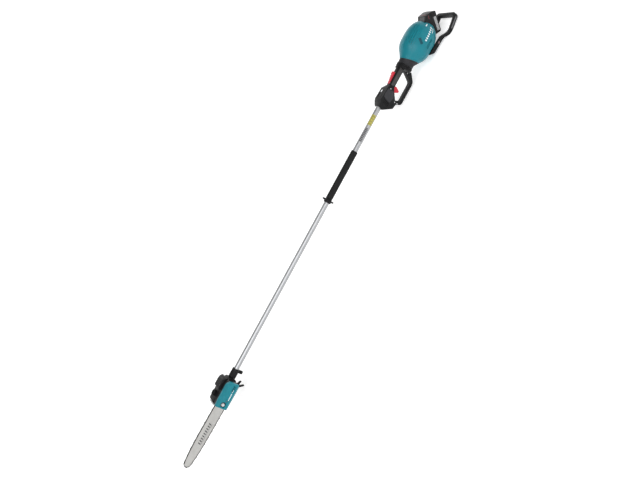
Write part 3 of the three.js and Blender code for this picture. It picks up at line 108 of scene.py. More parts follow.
class Paint:
    """One procedural finish round a Principled shader."""

    def __init__(self, name):
        self.material = bpy.data.materials.new(name)
        self.material.use_nodes = True
        self.tree = self.material.node_tree
        self.shader = self.tree.nodes["Principled BSDF"]

    def dull(self, level):
        """Sets how strongly the bare surface mirrors its surroundings."""
        self.shader.inputs["Specular IOR Level"].default_value = level

    def node(self, kind, settings=None, inputs=None, out=0):
        made = self.tree.nodes.new(kind)
        for key, value in (settings or {}).items():
            if key == "stops":
                self.fill_ramp(made.color_ramp, value)
            else:
                setattr(made, key, value)
        for key, value in (inputs or {}).items():
            self.feed(made.inputs[key], value)
        return Signal(self, made.outputs[out])

    def feed(self, socket, value):
        if isinstance(value, Signal):
            self.tree.links.new(value.socket, socket)
        elif socket.type == "RGBA" and len(value) == 3:
            socket.default_value = (*value, 1)
        else:
            socket.default_value = value

    def fill_ramp(self, ramp, stops):
        while len(ramp.elements) < len(stops):
            ramp.elements.new(1)
        for element, (place, shade) in zip(ramp.elements, stops):
            element.position = place
            element.color = (shade, shade, shade, 1)

    def place(self, stretch=(1, 1, 1), turn=(0, 0, 0)):
        where = self.node("ShaderNodeTexCoord", out="Object")
        return self.node("ShaderNodeMapping", None, {"Vector": where, "Scale": stretch, "Rotation": turn})

    def along(self, axis):
        where = self.node("ShaderNodeTexCoord", out="Object")
        return self.node("ShaderNodeSeparateXYZ", None, {0: where}, out=axis)

    def noise(self, scale, stretch=(1, 1, 1), detail=3, rough=0.5):
        inputs = {"Vector": self.place(stretch), "Scale": scale, "Detail": detail, "Roughness": rough}
        return self.node("ShaderNodeTexNoise", None, inputs)

    def cells(self, scale, stretch=(1, 1, 1), feature="F1"):
        inputs = {"Vector": self.place(stretch), "Scale": scale}
        return self.node("ShaderNodeTexVoronoi", {"feature": feature}, inputs)

    def ramp(self, signal, *stops):
        return self.node("ShaderNodeValToRGB", {"stops": stops}, {0: signal})

    def mix(self, factor, first, second):
        return self.node("ShaderNodeMix", {"data_type": "RGBA"}, {0: factor, 6: first, 7: second}, out=2)

    def bump(self, height, distance, strength=1.0, normal=None):
        inputs = {"Height": height, "Distance": distance, "Strength": strength}
        if normal:
            inputs["Normal"] = normal
        return self.node("ShaderNodeBump", None, inputs)

    def surface(self, **sockets):
        for key, value in sockets.items():
            self.feed(self.shader.inputs[key.replace("_", " ").title()], value)
        return self.material


def moulded(name, colour, shade, rough, grain=900.0, depth=0.05 * MM, gloss=0.28):
    """Moulded plastic: a fine grain, faint mottling and a little rubbed polish."""
    paint = Paint(name)
    paint.dull(gloss)
    mottle = paint.noise(14, detail=4)
    rubbed = paint.ramp(paint.noise(45, detail=5, rough=0.65), (0.52, 0), (0.72, 1))
    fine = paint.cells(grain)
    base = paint.mix(mottle * 0.6, colour, shade)
    scuffed = paint.mix(rubbed * 0.18, base, [min(1, c * 1.7 + 0.02) for c in shade])
    return paint.surface(
        base_color=scuffed,
        roughness=rough + 0.1 * mottle - 0.12 * rubbed,
        normal=paint.bump(fine, depth, 0.5),
    )


def anodised():
    """Drawn aluminium tube: long fine draw lines and faint handling marks."""
    paint = Paint("anodised_tube")
    draw = paint.noise(900, (0.006, 1, 1), detail=2)
    cloud = paint.noise(9, (0.4, 1, 1), detail=3)
    marks = paint.ramp(paint.noise(120, (0.12, 1, 1), detail=4, rough=0.7), (0.6, 0), (0.7, 1))
    return paint.surface(
        base_color=paint.mix(cloud * 0.5 + marks * 0.25, (0.4, 0.405, 0.415), (0.28, 0.285, 0.295)),
        metallic=1.0,
        roughness=0.26 + 0.12 * draw + 0.1 * marks,
        normal=paint.bump(draw, 0.02 * MM, 0.4),
    )


def machined(name, colour, shade, rough, stretch=(1, 1, 1), scale=400.0):
    """Bright or oiled steel with fine tooling lines, stains and a few scratches."""
    paint = Paint(name)
    lines = paint.noise(scale, stretch, detail=3)
    stain = paint.ramp(paint.noise(22, detail=5, rough=0.6), (0.45, 0), (0.75, 1))
    scratch = paint.ramp(paint.noise(160, (0.08, 1, 0.9), detail=2, rough=0.8), (0.66, 0), (0.69, 1))
    return paint.surface(
        base_color=paint.mix(stain * 0.55, paint.mix(scratch * 0.4, colour, [c * 1.25 for c in colour]), shade),
        metallic=1.0,
        roughness=rough + 0.14 * lines + 0.1 * stain,
        normal=paint.bump(lines, 0.02 * MM, 0.5),
    )


def cell_foam():
    """Closed-cell grip foam, matt and finely pitted."""
    paint = Paint("grip_foam")
    paint.dull(0.08)
    pits = paint.cells(1100)
    coarse = paint.noise(60, detail=4)
    return paint.surface(
        base_color=paint.mix(pits * 0.7, (0.022, 0.022, 0.0225), (0.01, 0.01, 0.0105)),
        roughness=0.88 + 0.1 * coarse,
        normal=paint.bump(pits + coarse * 0.6, 0.25 * MM, 0.7),
    )


def overmould():
    """Soft grip rubber with a pattern of small raised dots."""
    paint = Paint("grip_rubber")
    paint.dull(0.2)
    dots = paint.ramp(paint.cells(260), (0.25, 1), (0.5, 0))
    cloud = paint.noise(30, detail=4)
    return paint.surface(
        base_color=paint.mix(cloud * 0.7, (0.06, 0.057, 0.057), (0.035, 0.034, 0.035)),
        roughness=0.7 + 0.15 * cloud,
        normal=paint.bump(dots + cloud * 0.2, 0.2 * MM, 0.6),
    )


def plain_label(name, colour, ink, period, share):
    """A printed sleeve with plain bars across it, and no words."""
    paint = Paint(name)
    step = paint.node("ShaderNodeMath", {"operation": "FRACT"}, {0: paint.along("X") * (1 / period)})
    bars = step.above(1 - share)
    worn = paint.noise(180, detail=3)
    return paint.surface(
        base_color=paint.mix(bars, colour, ink),
        roughness=0.35 + 0.2 * worn,
        normal=paint.bump(worn, 0.02 * MM, 0.3),
    )


def lamp_window():
    paint = Paint("lamp_window")
    cloud = paint.noise(300, detail=2)
    return paint.surface(
        base_color=paint.mix(cloud, (0.9, 0.92, 0.94), (0.75, 0.78, 0.82)),
        roughness=0.15 + 0.1 * cloud,
        coat_weight=0.5,
    )


FINISH = {
    "teal": moulded("teal_shell", (0.003, 0.17, 0.212), (0.002, 0.135, 0.17), 0.3, 1400, 0.02 * MM),
    "black": moulded("black_moulding", (0.006, 0.006, 0.0065), (0.01, 0.01, 0.011), 0.42, gloss=0.15),
    "gloss_black": moulded("battery_black", (0.006, 0.006, 0.0065), (0.01, 0.01, 0.011), 0.3, 1600, 0.02 * MM, 0.2),
    "grey": moulded("grey_moulding", (0.032, 0.032, 0.036), (0.024, 0.024, 0.027), 0.48, gloss=0.2),
    "charcoal": moulded("charcoal_moulding", (0.022, 0.022, 0.025), (0.016, 0.016, 0.018), 0.5, gloss=0.2),
    "red": moulded("red_moulding", (0.56, 0.03, 0.05), (0.45, 0.02, 0.035), 0.34, 1400, 0.02 * MM),
    "aluminium": anodised(),
    "steel": machined("plated_steel", (0.62, 0.62, 0.63), (0.42, 0.42, 0.43), 0.26),
    "bar": machined("bar_steel", (0.46, 0.455, 0.44), (0.36, 0.352, 0.335), 0.4, (0.02, 1, 1), 700),
    "chain": machined("chain_steel", (0.028, 0.027, 0.026), (0.013, 0.012, 0.011), 0.5),
    "dark_steel": machined("oiled_steel", (0.2, 0.2, 0.2), (0.1, 0.1, 0.1), 0.36),
    "foam": cell_foam(),
    "rubber": overmould(),
    "copper": machined("winding_copper", (0.62, 0.25, 0.11), (0.4, 0.15, 0.07), 0.35, (1, 1, 1), 900),
    "board": moulded("potted_board", (0.02, 0.09, 0.045), (0.03, 0.05, 0.03), 0.5),
    "lens": lamp_window(),
    "spec_label": plain_label("spec_label", (0.05, 0.05, 0.053), (0.28, 0.28, 0.29), 9 * MM, 0.3),
    "yellow_label": plain_label("yellow_label", (0.36, 0.32, 0.05), (0.2, 0.19, 0.06), 14 * MM, 0.3),
    # painted shade: a darker teal for the floor of each side recess
    "deep_teal": moulded("shaded_teal", (0.004, 0.07, 0.095), (0.004, 0.055, 0.075), 0.5),
    "guard": moulded("guard_moulding", (0.006, 0.006, 0.0065), (0.01, 0.01, 0.011), 0.44, gloss=0.15),
    "latch_grey": moulded("latch_grey", (0.1, 0.1, 0.104), (0.07, 0.07, 0.073), 0.45),
    # painted highlight: a pale grey that stands for the lit side of the guard loop
    "pale_grey": moulded("pale_grey_moulding", (0.12, 0.12, 0.125), (0.09, 0.09, 0.094), 0.45),
    "dull_pink": moulded("boss_moulding", (0.2, 0.13, 0.14), (0.16, 0.11, 0.12), 0.5),
    "dull_red": moulded("stripe_moulding", (0.17, 0.03, 0.035), (0.12, 0.022, 0.026), 0.45),
    "white_paint": moulded("white_marking", (0.78, 0.82, 0.83), (0.66, 0.7, 0.71), 0.4),
    "dark_paint": moulded("dark_marking", (0.03, 0.03, 0.032), (0.06, 0.06, 0.062), 0.5),
    "battery_label": plain_label("battery_label", (0.3, 0.305, 0.31), (0.2, 0.205, 0.215), 11 * MM, 0.3),
}

NODE_FINISH = {
    "teal": ["motor_shell_left", "motor_shell_right", "sprocket_cover"],
    "black": [
        "lock_collar", "lock_knob", "hand_stop", "shaft_bush_rear", "shaft_bush_front", "handle_left",
        "handle_right", "control_panel", "terminal_block", "gear_case", "oil_tank", "oil_cap",
        "branch_hook", "guard_frame",
    ],
    "gloss_black": ["battery_case", "battery_lid"],
    "grey": ["power_button", "mode_button", "switch_block", "cooling_fan", "battery_cells", "battery_latch"],
    "charcoal": ["neck_cone", "gear_case_cover", "oil_pump"],
    "red": ["trigger", "lock_off_lever"],
    "aluminium": ["outer_tube", "inner_tube", "tube_clamp"],
    "steel": [
        "trigger_pin", "lever_pin", "trigger_spring", "lever_spring", "handle_screw_front",
        "handle_screw_rear", "motor_bearing_front", "motor_bearing_rear", "sprocket_spindle",
        "spindle_bearing", "nose_sprocket", "bar_stud", "bar_nut", "tension_screw", "bumper_spike",
    ],
    "bar": ["guide_bar"],
    "chain": ["saw_chain"],
    "dark_steel": ["rear_drive_shaft", "front_drive_shaft", "motor_rotor"],
    "foam": ["foam_grip"],
    "lens": ["indicator_lens"],
    "copper": ["motor_stator"],
    "board": ["motor_controller"],
}


def paint_frame():
    for finish, names in NODE_FINISH.items():
        for name in names:
            materials = NODES[name].data.materials
            materials.clear()
            materials.append(FINISH[finish])


paint_frame()

# ---------------------------------------------------------------- camera, light and floor

CAMERA_LIFT = math.radians(28)
CAMERA_ROLL = math.radians(61.42)
CAMERA_DISTANCE = 3.7
CAMERA_LENS = 40.42
AIM = Vector((-0.0036, -0.0284, 0.0649))


def add_camera():
    back = Vector((0, -math.cos(CAMERA_LIFT), math.sin(CAMERA_LIFT)))
    level = Vector((1, 0, 0))
    rise = back.cross(level)
    right = level * math.cos(CAMERA_ROLL) - rise * math.sin(CAMERA_ROLL)
    up = level * math.sin(CAMERA_ROLL) + rise * math.cos(CAMERA_ROLL)
    bpy.ops.object.camera_add()
    camera = bpy.context.object
    camera.data.lens = CAMERA_LENS
    camera.data.sensor_width = 36
    camera.data.clip_end = 100
    turn = Matrix((right, up, back)).transposed().to_4x4()
    camera.matrix_world = Matrix.Translation(AIM + back * CAMERA_DISTANCE) @ turn
    bpy.context.scene.camera = camera


def add_light(place, size, power, target=(0, 0, 0.1)):
    bpy.ops.object.light_add(type="AREA", location=place)
    light = bpy.context.object
    light.data.shape = "RECTANGLE"
    light.data.size, light.data.size_y = size
    light.data.energy = power
    aim = Vector(target) - Vector(place)
    light.rotation_euler = aim.to_track_quat("-Z", "Y").to_euler()


def add_sun(direction, strength, spread):
    bpy.ops.object.light_add(type="SUN", location=direction)
    sun = bpy.context.object
    sun.data.energy = strength
    sun.data.angle = math.radians(spread)
    sun.rotation_euler = Vector(direction).to_track_quat("Z", "Y").to_euler()


def add_floor():
    """A pale floor that curves up into a wall all round, well away from the saw."""
    bpy.ops.object.select_all(action="DESELECT")
    bpy.ops.mesh.primitive_circle_add(vertices=96, radius=9, fill_type="NGON")
    floor = bpy.context.object
    floor.name = "studio_floor"
    bpy.ops.object.mode_set(mode="EDIT")
    bpy.ops.mesh.select_all(action="SELECT")
    for rise, grow in ((0.3, 1.16), (0.9, 1.1), (1.8, 1.06), (3.0, 1.02)):
        bpy.ops.mesh.extrude_region_move(TRANSFORM_OT_translate={"value": (0, 0, rise)})
        bpy.ops.transform.resize(value=(grow, grow, 1))
    bpy.ops.mesh.delete(type="ONLY_FACE")
    bpy.ops.object.mode_set(mode="OBJECT")
    bpy.ops.object.shade_smooth()
    paint = Paint("studio_floor")
    paint.shader.inputs["Emission Color"].default_value = (1, 1, 1, 1)
    paint.shader.inputs["Emission Strength"].default_value = FLOOR_GLOW
    floor.data.materials.append(paint.surface(base_color=(0.86, 0.86, 0.86), roughness=0.95))


FLOOR_GLOW = 0.4
SKY_STRENGTH = 0.42


def add_studio():
    world = bpy.data.worlds.new("studio")
    bpy.context.scene.world = world
    world.use_nodes = True
    sky = world.node_tree.nodes["Background"]
    sky.inputs["Color"].default_value = (1, 1, 1, 1)
    sky.inputs["Strength"].default_value = SKY_STRENGTH
    add_sun((-0.35, -0.7, 0.75), 1.8, 60)
    add_light((-0.6, -2.6, 1.2), (3.4, 0.8), 14)
    add_light((0.4, 2.4, 1.9), (3.2, 0.9), 12)
    add_floor()
    bpy.context.scene.view_settings.view_transform = "Standard"


# ---------------------------------------------------------------- the modeller's hands


def only(obj):
    """Leaves one object selected and active, in object mode."""
    if bpy.context.object and bpy.context.object.mode != "OBJECT":
        bpy.ops.object.mode_set(mode="OBJECT")
    bpy.ops.object.select_all(action="DESELECT")
    if obj:
        obj.select_set(True)
        bpy.context.view_layer.objects.active = obj


def settle(obj):
    """Puts the object's place, turn and size into its mesh."""
    only(obj)
    bpy.ops.object.transform_apply(location=True, rotation=True, scale=True)
    return obj


def named(name):
    obj = bpy.context.object
    obj.name = name
    obj.data.name = name
    return settle(obj)


def block(name, x, y, z):
    """A box between two limits along each axis, in millimetres."""
    only(None)
    bpy.ops.mesh.primitive_cube_add(size=1, location=spot(*[(a + b) / 2 for a, b in (x, y, z)]))
    bpy.context.object.scale = [(b - a) * MM for a, b in (x, y, z)]
    return named(name)


AXIS_TURN = {"X": (0, math.pi / 2, 0), "Y": (-math.pi / 2, 0, 0), "Z": (0, 0, 0)}
AXIS_INDEX = {"X": 0, "Y": 1, "Z": 2}


def rod(name, axis, low, high, radius, place, sides=32, tip=None):
    """A cylinder, or a cone with a second radius, along an axis; place gives its other two coordinates."""
    only(None)
    middle = list(place)
    middle.insert(AXIS_INDEX[axis], (low + high) / 2)
    turn = AXIS_TURN[axis]
    sizes = {"depth": (high - low) * MM, "location": spot(*middle), "rotation": turn, "vertices": sides}
    if tip is None:
        bpy.ops.mesh.primitive_cylinder_add(radius=radius * MM, **sizes)
    else:
        bpy.ops.mesh.primitive_cone_add(radius1=radius * MM, radius2=tip * MM, **sizes)
    return named(name)


def editing(obj, kind="FACE"):
    """Opens one object in edit mode with nothing selected."""
    only(obj)
    bpy.ops.object.mode_set(mode="EDIT")
    bpy.ops.mesh.select_mode(type=kind)
    bpy.ops.mesh.select_all(action="DESELECT")


def pick(test):
    """Selects the faces, edges or vertices of the object being edited that pass a test."""
    form = bmesh.from_edit_mesh(bpy.context.edit_object.data)
    face, edge = bpy.context.tool_settings.mesh_select_mode[2], bpy.context.tool_settings.mesh_select_mode[1]
    parts = form.faces if face else form.edges if edge else form.verts
    for part in parts:
        part.select_set(bool(test(part)))
    form.select_flush_mode()
    bmesh.update_edit_mesh(bpy.context.edit_object.data)


def done():
    bpy.ops.object.mode_set(mode="OBJECT")


def outline(name, points, axis, low, high):
    """A flat outline drawn point by point by extruding one vertex, filled, and pushed out along an axis.

    A point is (u, v) or (u, v, radius), where the radius rounds that corner.
    """
    only(None)
    place = AXIS_INDEX[axis]

    def corner_at(point):
        where = list(point[:2])
        where.insert(place, low)
        return spot(*where)

    bpy.ops.mesh.primitive_plane_add(size=0.001, location=corner_at(points[0]))
    obj = named(name)
    editing(obj, "VERT")
    bpy.ops.mesh.select_all(action="SELECT")
    bpy.ops.mesh.merge(type="CENTER")
    for before, after in zip(points, points[1:]):
        bpy.ops.mesh.extrude_region_move(TRANSFORM_OT_translate={"value": corner_at(after) - corner_at(before)})
    bpy.ops.mesh.select_all(action="SELECT")
    bpy.ops.mesh.edge_face_add()
    for radius in sorted({point[2] for point in points if len(point) > 2}):
        corners = [corner_at(point) for point in points if len(point) > 2 and point[2] == radius]
        pick(lambda vertex: any((vertex.co - corner).length < 1e-5 for corner in corners))
        bpy.ops.mesh.bevel(offset=radius * MM, offset_type="OFFSET", segments=4, affect="VERTICES")
    bpy.ops.mesh.select_all(action="SELECT")
    push = [0, 0, 0]
    push[place] = (high - low) * MM
    bpy.ops.mesh.extrude_region_move(TRANSFORM_OT_translate={"value": push})
    bpy.ops.mesh.select_all(action="SELECT")
    bpy.ops.mesh.normals_make_consistent(inside=False)
    done()
    return obj


def spun(name, profile, axis_z, steps=64, y=0):
    """A profile of (x, radius) points drawn above an axis along X and spun round it."""
    only(None)
    start = profile[0]
    bpy.ops.mesh.primitive_plane_add(size=0.001, location=spot(start[0], y, axis_z + start[1]))
    obj = named(name)
    editing(obj, "VERT")
    bpy.ops.mesh.select_all(action="SELECT")
    bpy.ops.mesh.merge(type="CENTER")
    for before, after in zip(profile, profile[1:]):
        step = Vector((after[0] - before[0], 0, after[1] - before[1])) * MM
        bpy.ops.mesh.extrude_region_move(TRANSFORM_OT_translate={"value": step})
    bpy.ops.mesh.select_all(action="SELECT")
    bpy.ops.mesh.spin(steps=steps, angle=2 * math.pi, center=spot(0, y, axis_z), axis=(1, 0, 0))
    bpy.ops.mesh.select_all(action="SELECT")
    bpy.ops.mesh.remove_doubles(threshold=0.01 * MM)
    bpy.ops.mesh.select_all(action="SELECT")
    bpy.ops.mesh.normals_make_consistent(inside=False)
    done()
    return obj


def modify(obj, kind, **settings):
    only(obj)
    modifier = obj.modifiers.new(kind.lower(), kind)
    for key, value in settings.items():
        setattr(modifier, key, value)
    bpy.ops.object.modifier_apply(modifier=modifier.name)
    return obj


def remove(*tools):
    for tool in tools:
        bpy.data.objects.remove(tool)


def cut(obj, *tools):
    """Takes each tool's shape out of the object."""
    for tool in tools:
        modify(obj, "BOOLEAN", operation="DIFFERENCE", object=tool, solver="EXACT")
    remove(*tools)
    return obj


def weld(obj, *others):
    """Joins other shapes to the object as one closed body."""
    for other in others:
        modify(obj, "BOOLEAN", operation="UNION", object=other, solver="EXACT")
    remove(*others)
    return obj


def keep(obj, *tools):
    """Keeps only what lies inside each tool."""
    for tool in tools:
        modify(obj, "BOOLEAN", operation="INTERSECT", object=tool, solver="EXACT")
    remove(*tools)
    return obj


def gather(name, objects):
    """Makes several separate shapes one piece."""
    only(None)
    for obj in objects:
        obj.select_set(True)
    bpy.context.view_layer.objects.active = objects[0]
    bpy.ops.object.join()
    return named(name)


def copy_of(obj, name):
    """A copy with its own mesh."""
    only(obj)
    bpy.ops.object.duplicate()
    return named(name)


def round_edges(obj, width, segments=2, angle=30):
    return modify(
        obj, "BEVEL", width=width * MM, segments=segments, limit_method="ANGLE",
        angle_limit=math.radians(angle), harden_normals=False,
    )


SLOTS = {
    "teal": "teal_plastic", "black": "black_plastic", "gloss_black": "black_plastic", "grey": "grey_plastic",
    "charcoal": "grey_plastic", "rubber": "grey_plastic", "red": "red_plastic", "guard": "guard_black",
    "aluminium": "tube_aluminium", "steel": "steel", "bar": "bar_steel", "chain": "dark_steel",
    "dark_steel": "dark_steel", "foam": "foam", "lens": "clear_lens",
}


def finish(obj, material, node=None, body=None, slot=None, angle=35):
    """The last steps of every piece: its finish, smooth faces, its body and the node that it stands for."""
    settle(obj)
    if not obj.data.polygons:
        raise RuntimeError(obj.name + " has no faces left")
    obj.data.materials.clear()
    obj.data.materials.append(FINISH[material])
    bpy.ops.object.shade_smooth_by_angle(angle=math.radians(angle))
    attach(obj, body or NODES[node]["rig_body"])
    if node:
        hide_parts(node)
    slot = slot or SLOTS.get(material)
    return obj


# ---------------------------------------------------------------- motor housing and neck

SHELL_FRONT = 280
SHELL_LENGTH = 231
SHELL_RADIUS = 82
SHELL_AXIS = -18
SHELL_WALL = 3
SHELL_SHAPE = (
    (0, 0.512), (0.1, 0.68), (0.2, 0.87), (0.3, 0.972), (0.42, 1), (0.55, 1),
    (0.68, 0.965), (0.8, 0.86), (0.9, 0.66), (0.97, 0.42), (1, 0.25),
)
RIM_SLANT = -14
RIM_HINGE = (SHELL_FRONT + 1, SHELL_AXIS + 44)
BATTERY_CENTRE = (508, -22.5)
BATTERY_LEAN = 34
BATTERY_HALF = (118 / 2, 78 / 2, 76 / 2)
TERMINAL_ROOM = 7
BAY_GAP = 0.6


def curve_through(points, steps):
    """Points along a smooth curve that passes through the given ones."""
    first = [2 * a - b for a, b in zip(points[0], points[1])]
    last = [2 * a - b for a, b in zip(points[-1], points[-2])]
    padded = [first, *points, last]
    made = []
    for a, b, c, d in zip(padded, padded[1:], padded[2:], padded[3:]):
        for step in range(steps):
            t = step / steps
            made.append(tuple(
                0.5 * (
                    2 * q + (r - p) * t + (2 * p - 5 * q + 4 * r - s) * t ** 2
                    + (3 * (q - r) + s - p) * t ** 3
                )
                for p, q, r, s in zip(a, b, c, d)
            ))
    return [*made, tuple(points[-1])]


def shell_profile(inset):
    body = []
    for share, wide in curve_through(SHELL_SHAPE, 3):
        x = SHELL_FRONT + inset + share * (SHELL_LENGTH - 2 * inset)
        body.append((x, min(wide, 1) * SHELL_RADIUS - inset))
    return [(body[0][0], 0), *body, (body[-1][0], 0)]


def shell_solid(name, inset):
    return spun(name, shell_profile(inset), SHELL_AXIS, steps=96)


def turned_about(obj, axis, degrees, centre):
    """Turns an object about a point, in millimetres from the saw's own origin."""
    pivot = Matrix.Translation(spot(*centre))
    obj.matrix_world = pivot @ Matrix.Rotation(math.radians(degrees), 4, axis) @ pivot.inverted()
    bpy.context.view_layer.update()
    return settle(obj)


def battery_block(name, slide, across, out):
    """A box in the battery's own directions: the way it slides off, across, and out from the housing."""
    obj = block(name, out, across, slide)
    centre = Vector((BATTERY_CENTRE[0], 0, BATTERY_CENTRE[1])) * MM
    lean = Matrix.Rotation(math.radians(BATTERY_LEAN), 4, "Y")
    home = Matrix.Translation(HOME * MM)
    obj.matrix_world = home @ Matrix.Translation(centre) @ lean @ home.inverted()
    bpy.context.view_layer.update()
    return settle(obj)


def battery_bay(name, grow):
    length, wide, deep = BATTERY_HALF
    gap = BAY_GAP + grow
    return battery_block(
        name, (-length - gap, 4 * length), (-wide - gap, wide + gap), (-deep - gap - TERMINAL_ROOM, 4 * deep),
    )


def radial_block(name, x, width, angle, length, skew=0):
    """A box that stands out of the motor housing at an angle from the top; positive is the left side."""
    obj = block(name, (x - length / 2, x + length / 2), (-width / 2, width / 2), (SHELL_AXIS + 40, SHELL_AXIS + 96))
    if skew:
        turned_about(obj, "Z", skew, (x, 0, 0))
    return turned_about(obj, "X", angle, (x, 0, SHELL_AXIS))


def skin(name, outer, inner):
    """The motor housing's skin between two depths below its surface."""
    return cut(shell_solid(name, outer), shell_solid("core", inner))


def vents():
    """Rows of small slots along the upper band, and slanted slots low on each side."""
    made = []
    for side in (1, -1):
        for row, (angle, start, count) in enumerate(((24, 96, 12), (34, 80, 13), (43, 74, 9))):
            for i in range(count):
                x = SHELL_FRONT + start + i * 9
                made.append(radial_block("slot", x, 2.2, side * (angle - i * 0.25), 6.5))
        for i in range(6):
            x = SHELL_FRONT + 98 + i * 9
            made.append(radial_block("slot", x, 15, side * 106, 3.6, skew=-24 * side))
    return gather("vents", made)


def side_recess():
    """The slanted finger recess on each side."""
    made = []
    for side in (1, -1):
        x = SHELL_FRONT + 107
        made.append(radial_block("slot", x, 33, side * 70, 15, skew=-38 * side))
    return gather("side_recess", made)


def groove_band():
    """Shallow lines: one over the vents, one low round each side, and one ahead of the battery."""
    made = []
    for side in (1, -1):
        for angle, start, end in ((17, 40, 205), (52, 52, 190), (122, 30, 190)):
            middle = SHELL_FRONT + (start + end) / 2
            made.append(radial_block("line", middle, 1.4, side * angle, end - start))
    return gather("groove_band", made)


def motor_shells():
    whole = shell_solid("motor_shell", 0)
    hollow = cut(shell_solid("hollow", SHELL_WALL), battery_bay("bay", SHELL_WALL))
    cut(whole, hollow, battery_bay("bay", 0))
    slant = block("slant", (SHELL_FRONT - 80, RIM_HINGE[0]), (-100, 100), (-150, 90))
    cut(whole, turned_about(slant, "Y", RIM_SLANT, (RIM_HINGE[0], 0, RIM_HINGE[1])))
    cut(whole, keep(groove_band(), skin("skin", -1, 1.1)))
    cut(whole, keep(side_recess(), skin("skin", -1, 2.2)))
    cut(whole, vents())
    for name, y in (("motor_shell_left", (-100, -SEAM)), ("motor_shell_right", (SEAM, 100))):
        half = copy_of(whole, name.replace("motor_", ""))
        keep(half, block("half", (SHELL_FRONT - 40, SHELL_FRONT + SHELL_LENGTH + 40), y, (-150, 150)))
        finish(half, "teal", name)
    remove(whole)


def recess_liners():
    """The floor of each side recess in a darker teal, as painted shade in the recess."""
    liner = keep(side_recess(), skin("skin", 1.9, 2.6))
    finish(liner, "deep_teal", body="power_head", slot="teal_plastic")


def neck():
    ring = spun("neck_ring", (
        (246.2, 24), (246.2, 41), (247.4, 43), (251, 43), (251.6, 42), (253.4, 42), (254, 43),
        (257.2, 43), (258.4, 41.5), (258.4, 24), (246.2, 24),
    ), SHELL_AXIS, steps=72)
    finish(ring, "black", "neck_cone")
    reach = [(x, r - 0.7) for x, r in shell_profile(0) if SHELL_FRONT < x < SHELL_FRONT + 28 and r > 1]
    profile = [(258.6, 26), (258.6, 40), (260, 40.6), (SHELL_FRONT, 41.2), *reach]
    end = reach[-1]
    profile += [(end[0], end[1] - 5), (SHELL_FRONT, 34), (262, 33), (262, 26), (258.6, 26)]
    cone = spun("neck_cone_shell", profile, SHELL_AXIS, steps=72)
    slant = block("slant", (SHELL_FRONT - 80, RIM_HINGE[0] - 0.5), (-100, 100), (-150, 90))
    keep(cone, turned_about(slant, "Y", RIM_SLANT, (RIM_HINGE[0] - 0.5, 0, RIM_HINGE[1])))
    ribs = []
    for i in range(24):
        rib = block("rib", (262, 276), (-1.1, 1.1), (SHELL_AXIS + 40.2, SHELL_AXIS + 44))
        ribs.append(turned_about(rib, "X", i * 15, (0, 0, SHELL_AXIS)))
    cut(cone, gather("ribs", ribs))
    finish(cone, "charcoal", body="power_head", slot="grey_plastic")


def shell_mark():
    """A plain row of slanted pale dashes on each side, with a short line under it."""
    for side, name in ((1, "shell_mark_left"), (-1, "shell_mark_right")):
        dashes = []
        for i in range(7):
            x = SHELL_FRONT + 124 + i * 12
            dashes.append(radial_block("dash", x, 9, side * 86, 6.5, skew=-18 * side))
        dashes.append(radial_block("dash", SHELL_FRONT + 188, 3, side * 98, 26))
        dashes.append(radial_block("dash", SHELL_FRONT + 197, 5, side * 61, 16))
        mark = keep(gather(name, dashes), skin("skin", -0.15, 0.3))
        finish(mark, "white_paint", body="power_head")


# ---------------------------------------------------------------- handle, controls and loop guard

HOUSING_SIDE = (
    (0, -14), (6, 14), (40, 28), (106, 25), (128, 14), (128, -17), (108, -21), (84, -40), (56, -62), (32, -58),
)
HOUSING_PLAN = ((0, 22), (28, 33), (104, 33), (128, 18))
GRIP_END = 245.7
LOOP_OUTER = (
    (50, -52), (78, -102, 10), (207, -102, 14), (GRIP_END, -66), (GRIP_END, -19), (230, -33, 8),
    (200, -87, 10), (92, -87, 8), (76, -46), (66, -40),
)


def mirrored(points):
    return [*points, *[(x, -y) for x, y in reversed(points)]]


def handle_body():
    housing = outline("handle", HOUSING_SIDE, "Y", -33, 33)
    keep(housing, outline("plan", mirrored(HOUSING_PLAN), "Z", -110, 60))
    round_edges(housing, 2, 3, 40)
    grip = block("grip", (116, GRIP_END), (-18, 18), (-19, 16))
    editing(grip, "EDGE")
    pick(lambda edge: abs((edge.verts[0].co - edge.verts[1].co).x) > 0.05)
    bpy.ops.mesh.bevel(offset=8 * MM, segments=6, affect="EDGES")
    done()
    loop = round_edges(outline("loop", LOOP_OUTER, "Y", -15, 15), 2.5, 3, 40)
    rim = rod("rim", "X", 233, GRIP_END, 42, (0, SHELL_AXIS), 72)
    return weld(housing, grip, loop, rim)


def handle_cuts():
    """Room for the tube, the shaft, the panel, the trigger and the lever."""
    trigger = outline("tool", ((94, -6), (120, -6), (152, -14), (152, -60), (102, -60), (94, -26)), "Y", -6.5, 6.5)
    return [
        rod("tool", "X", -5, 92, 13.8, (0, 0), 64),
        rod("tool", "X", 80, 260, 7, (0, 0), 32),
        block("tool", (45.7, 96.3), (-20.3, 20.3), (21, 40)),
        trigger,
        block("tool", (133, 201), (-9, 9), (6, 40)),
    ]


def housing_grooves():
    """Slanted cooling grooves on the front of each side."""
    made = []
    for y in ((-40, -30.5), (30.5, 40)):
        for i in range(4):
            x = 16 + i * 8
            made.append(outline("groove", ((x, -26), (x + 3.4, -26), (x + 13.4, 8), (x + 10, 8)), "Y", *y))
    return made


SIDE_PLATE = (
    (60, 19, 3), (70, 22.5, 3), (117, 19.5, 4), (120, -4, 4), (104, -20, 4), (83, -33, 4), (47, -24, 4), (52, 0, 3),
)


def handle_halves():
    whole = cut(handle_body(), *handle_cuts())
    cut(whole, *housing_grooves())
    for name, y in (("handle_left", (-60, -SEAM)), ("handle_right", (SEAM, 60))):
        half = keep(copy_of(whole, name.replace("handle", "grip_half")), block("half", (-9, 260), y, (-150, 90)))
        finish(half, "black", name)
    remove(whole)


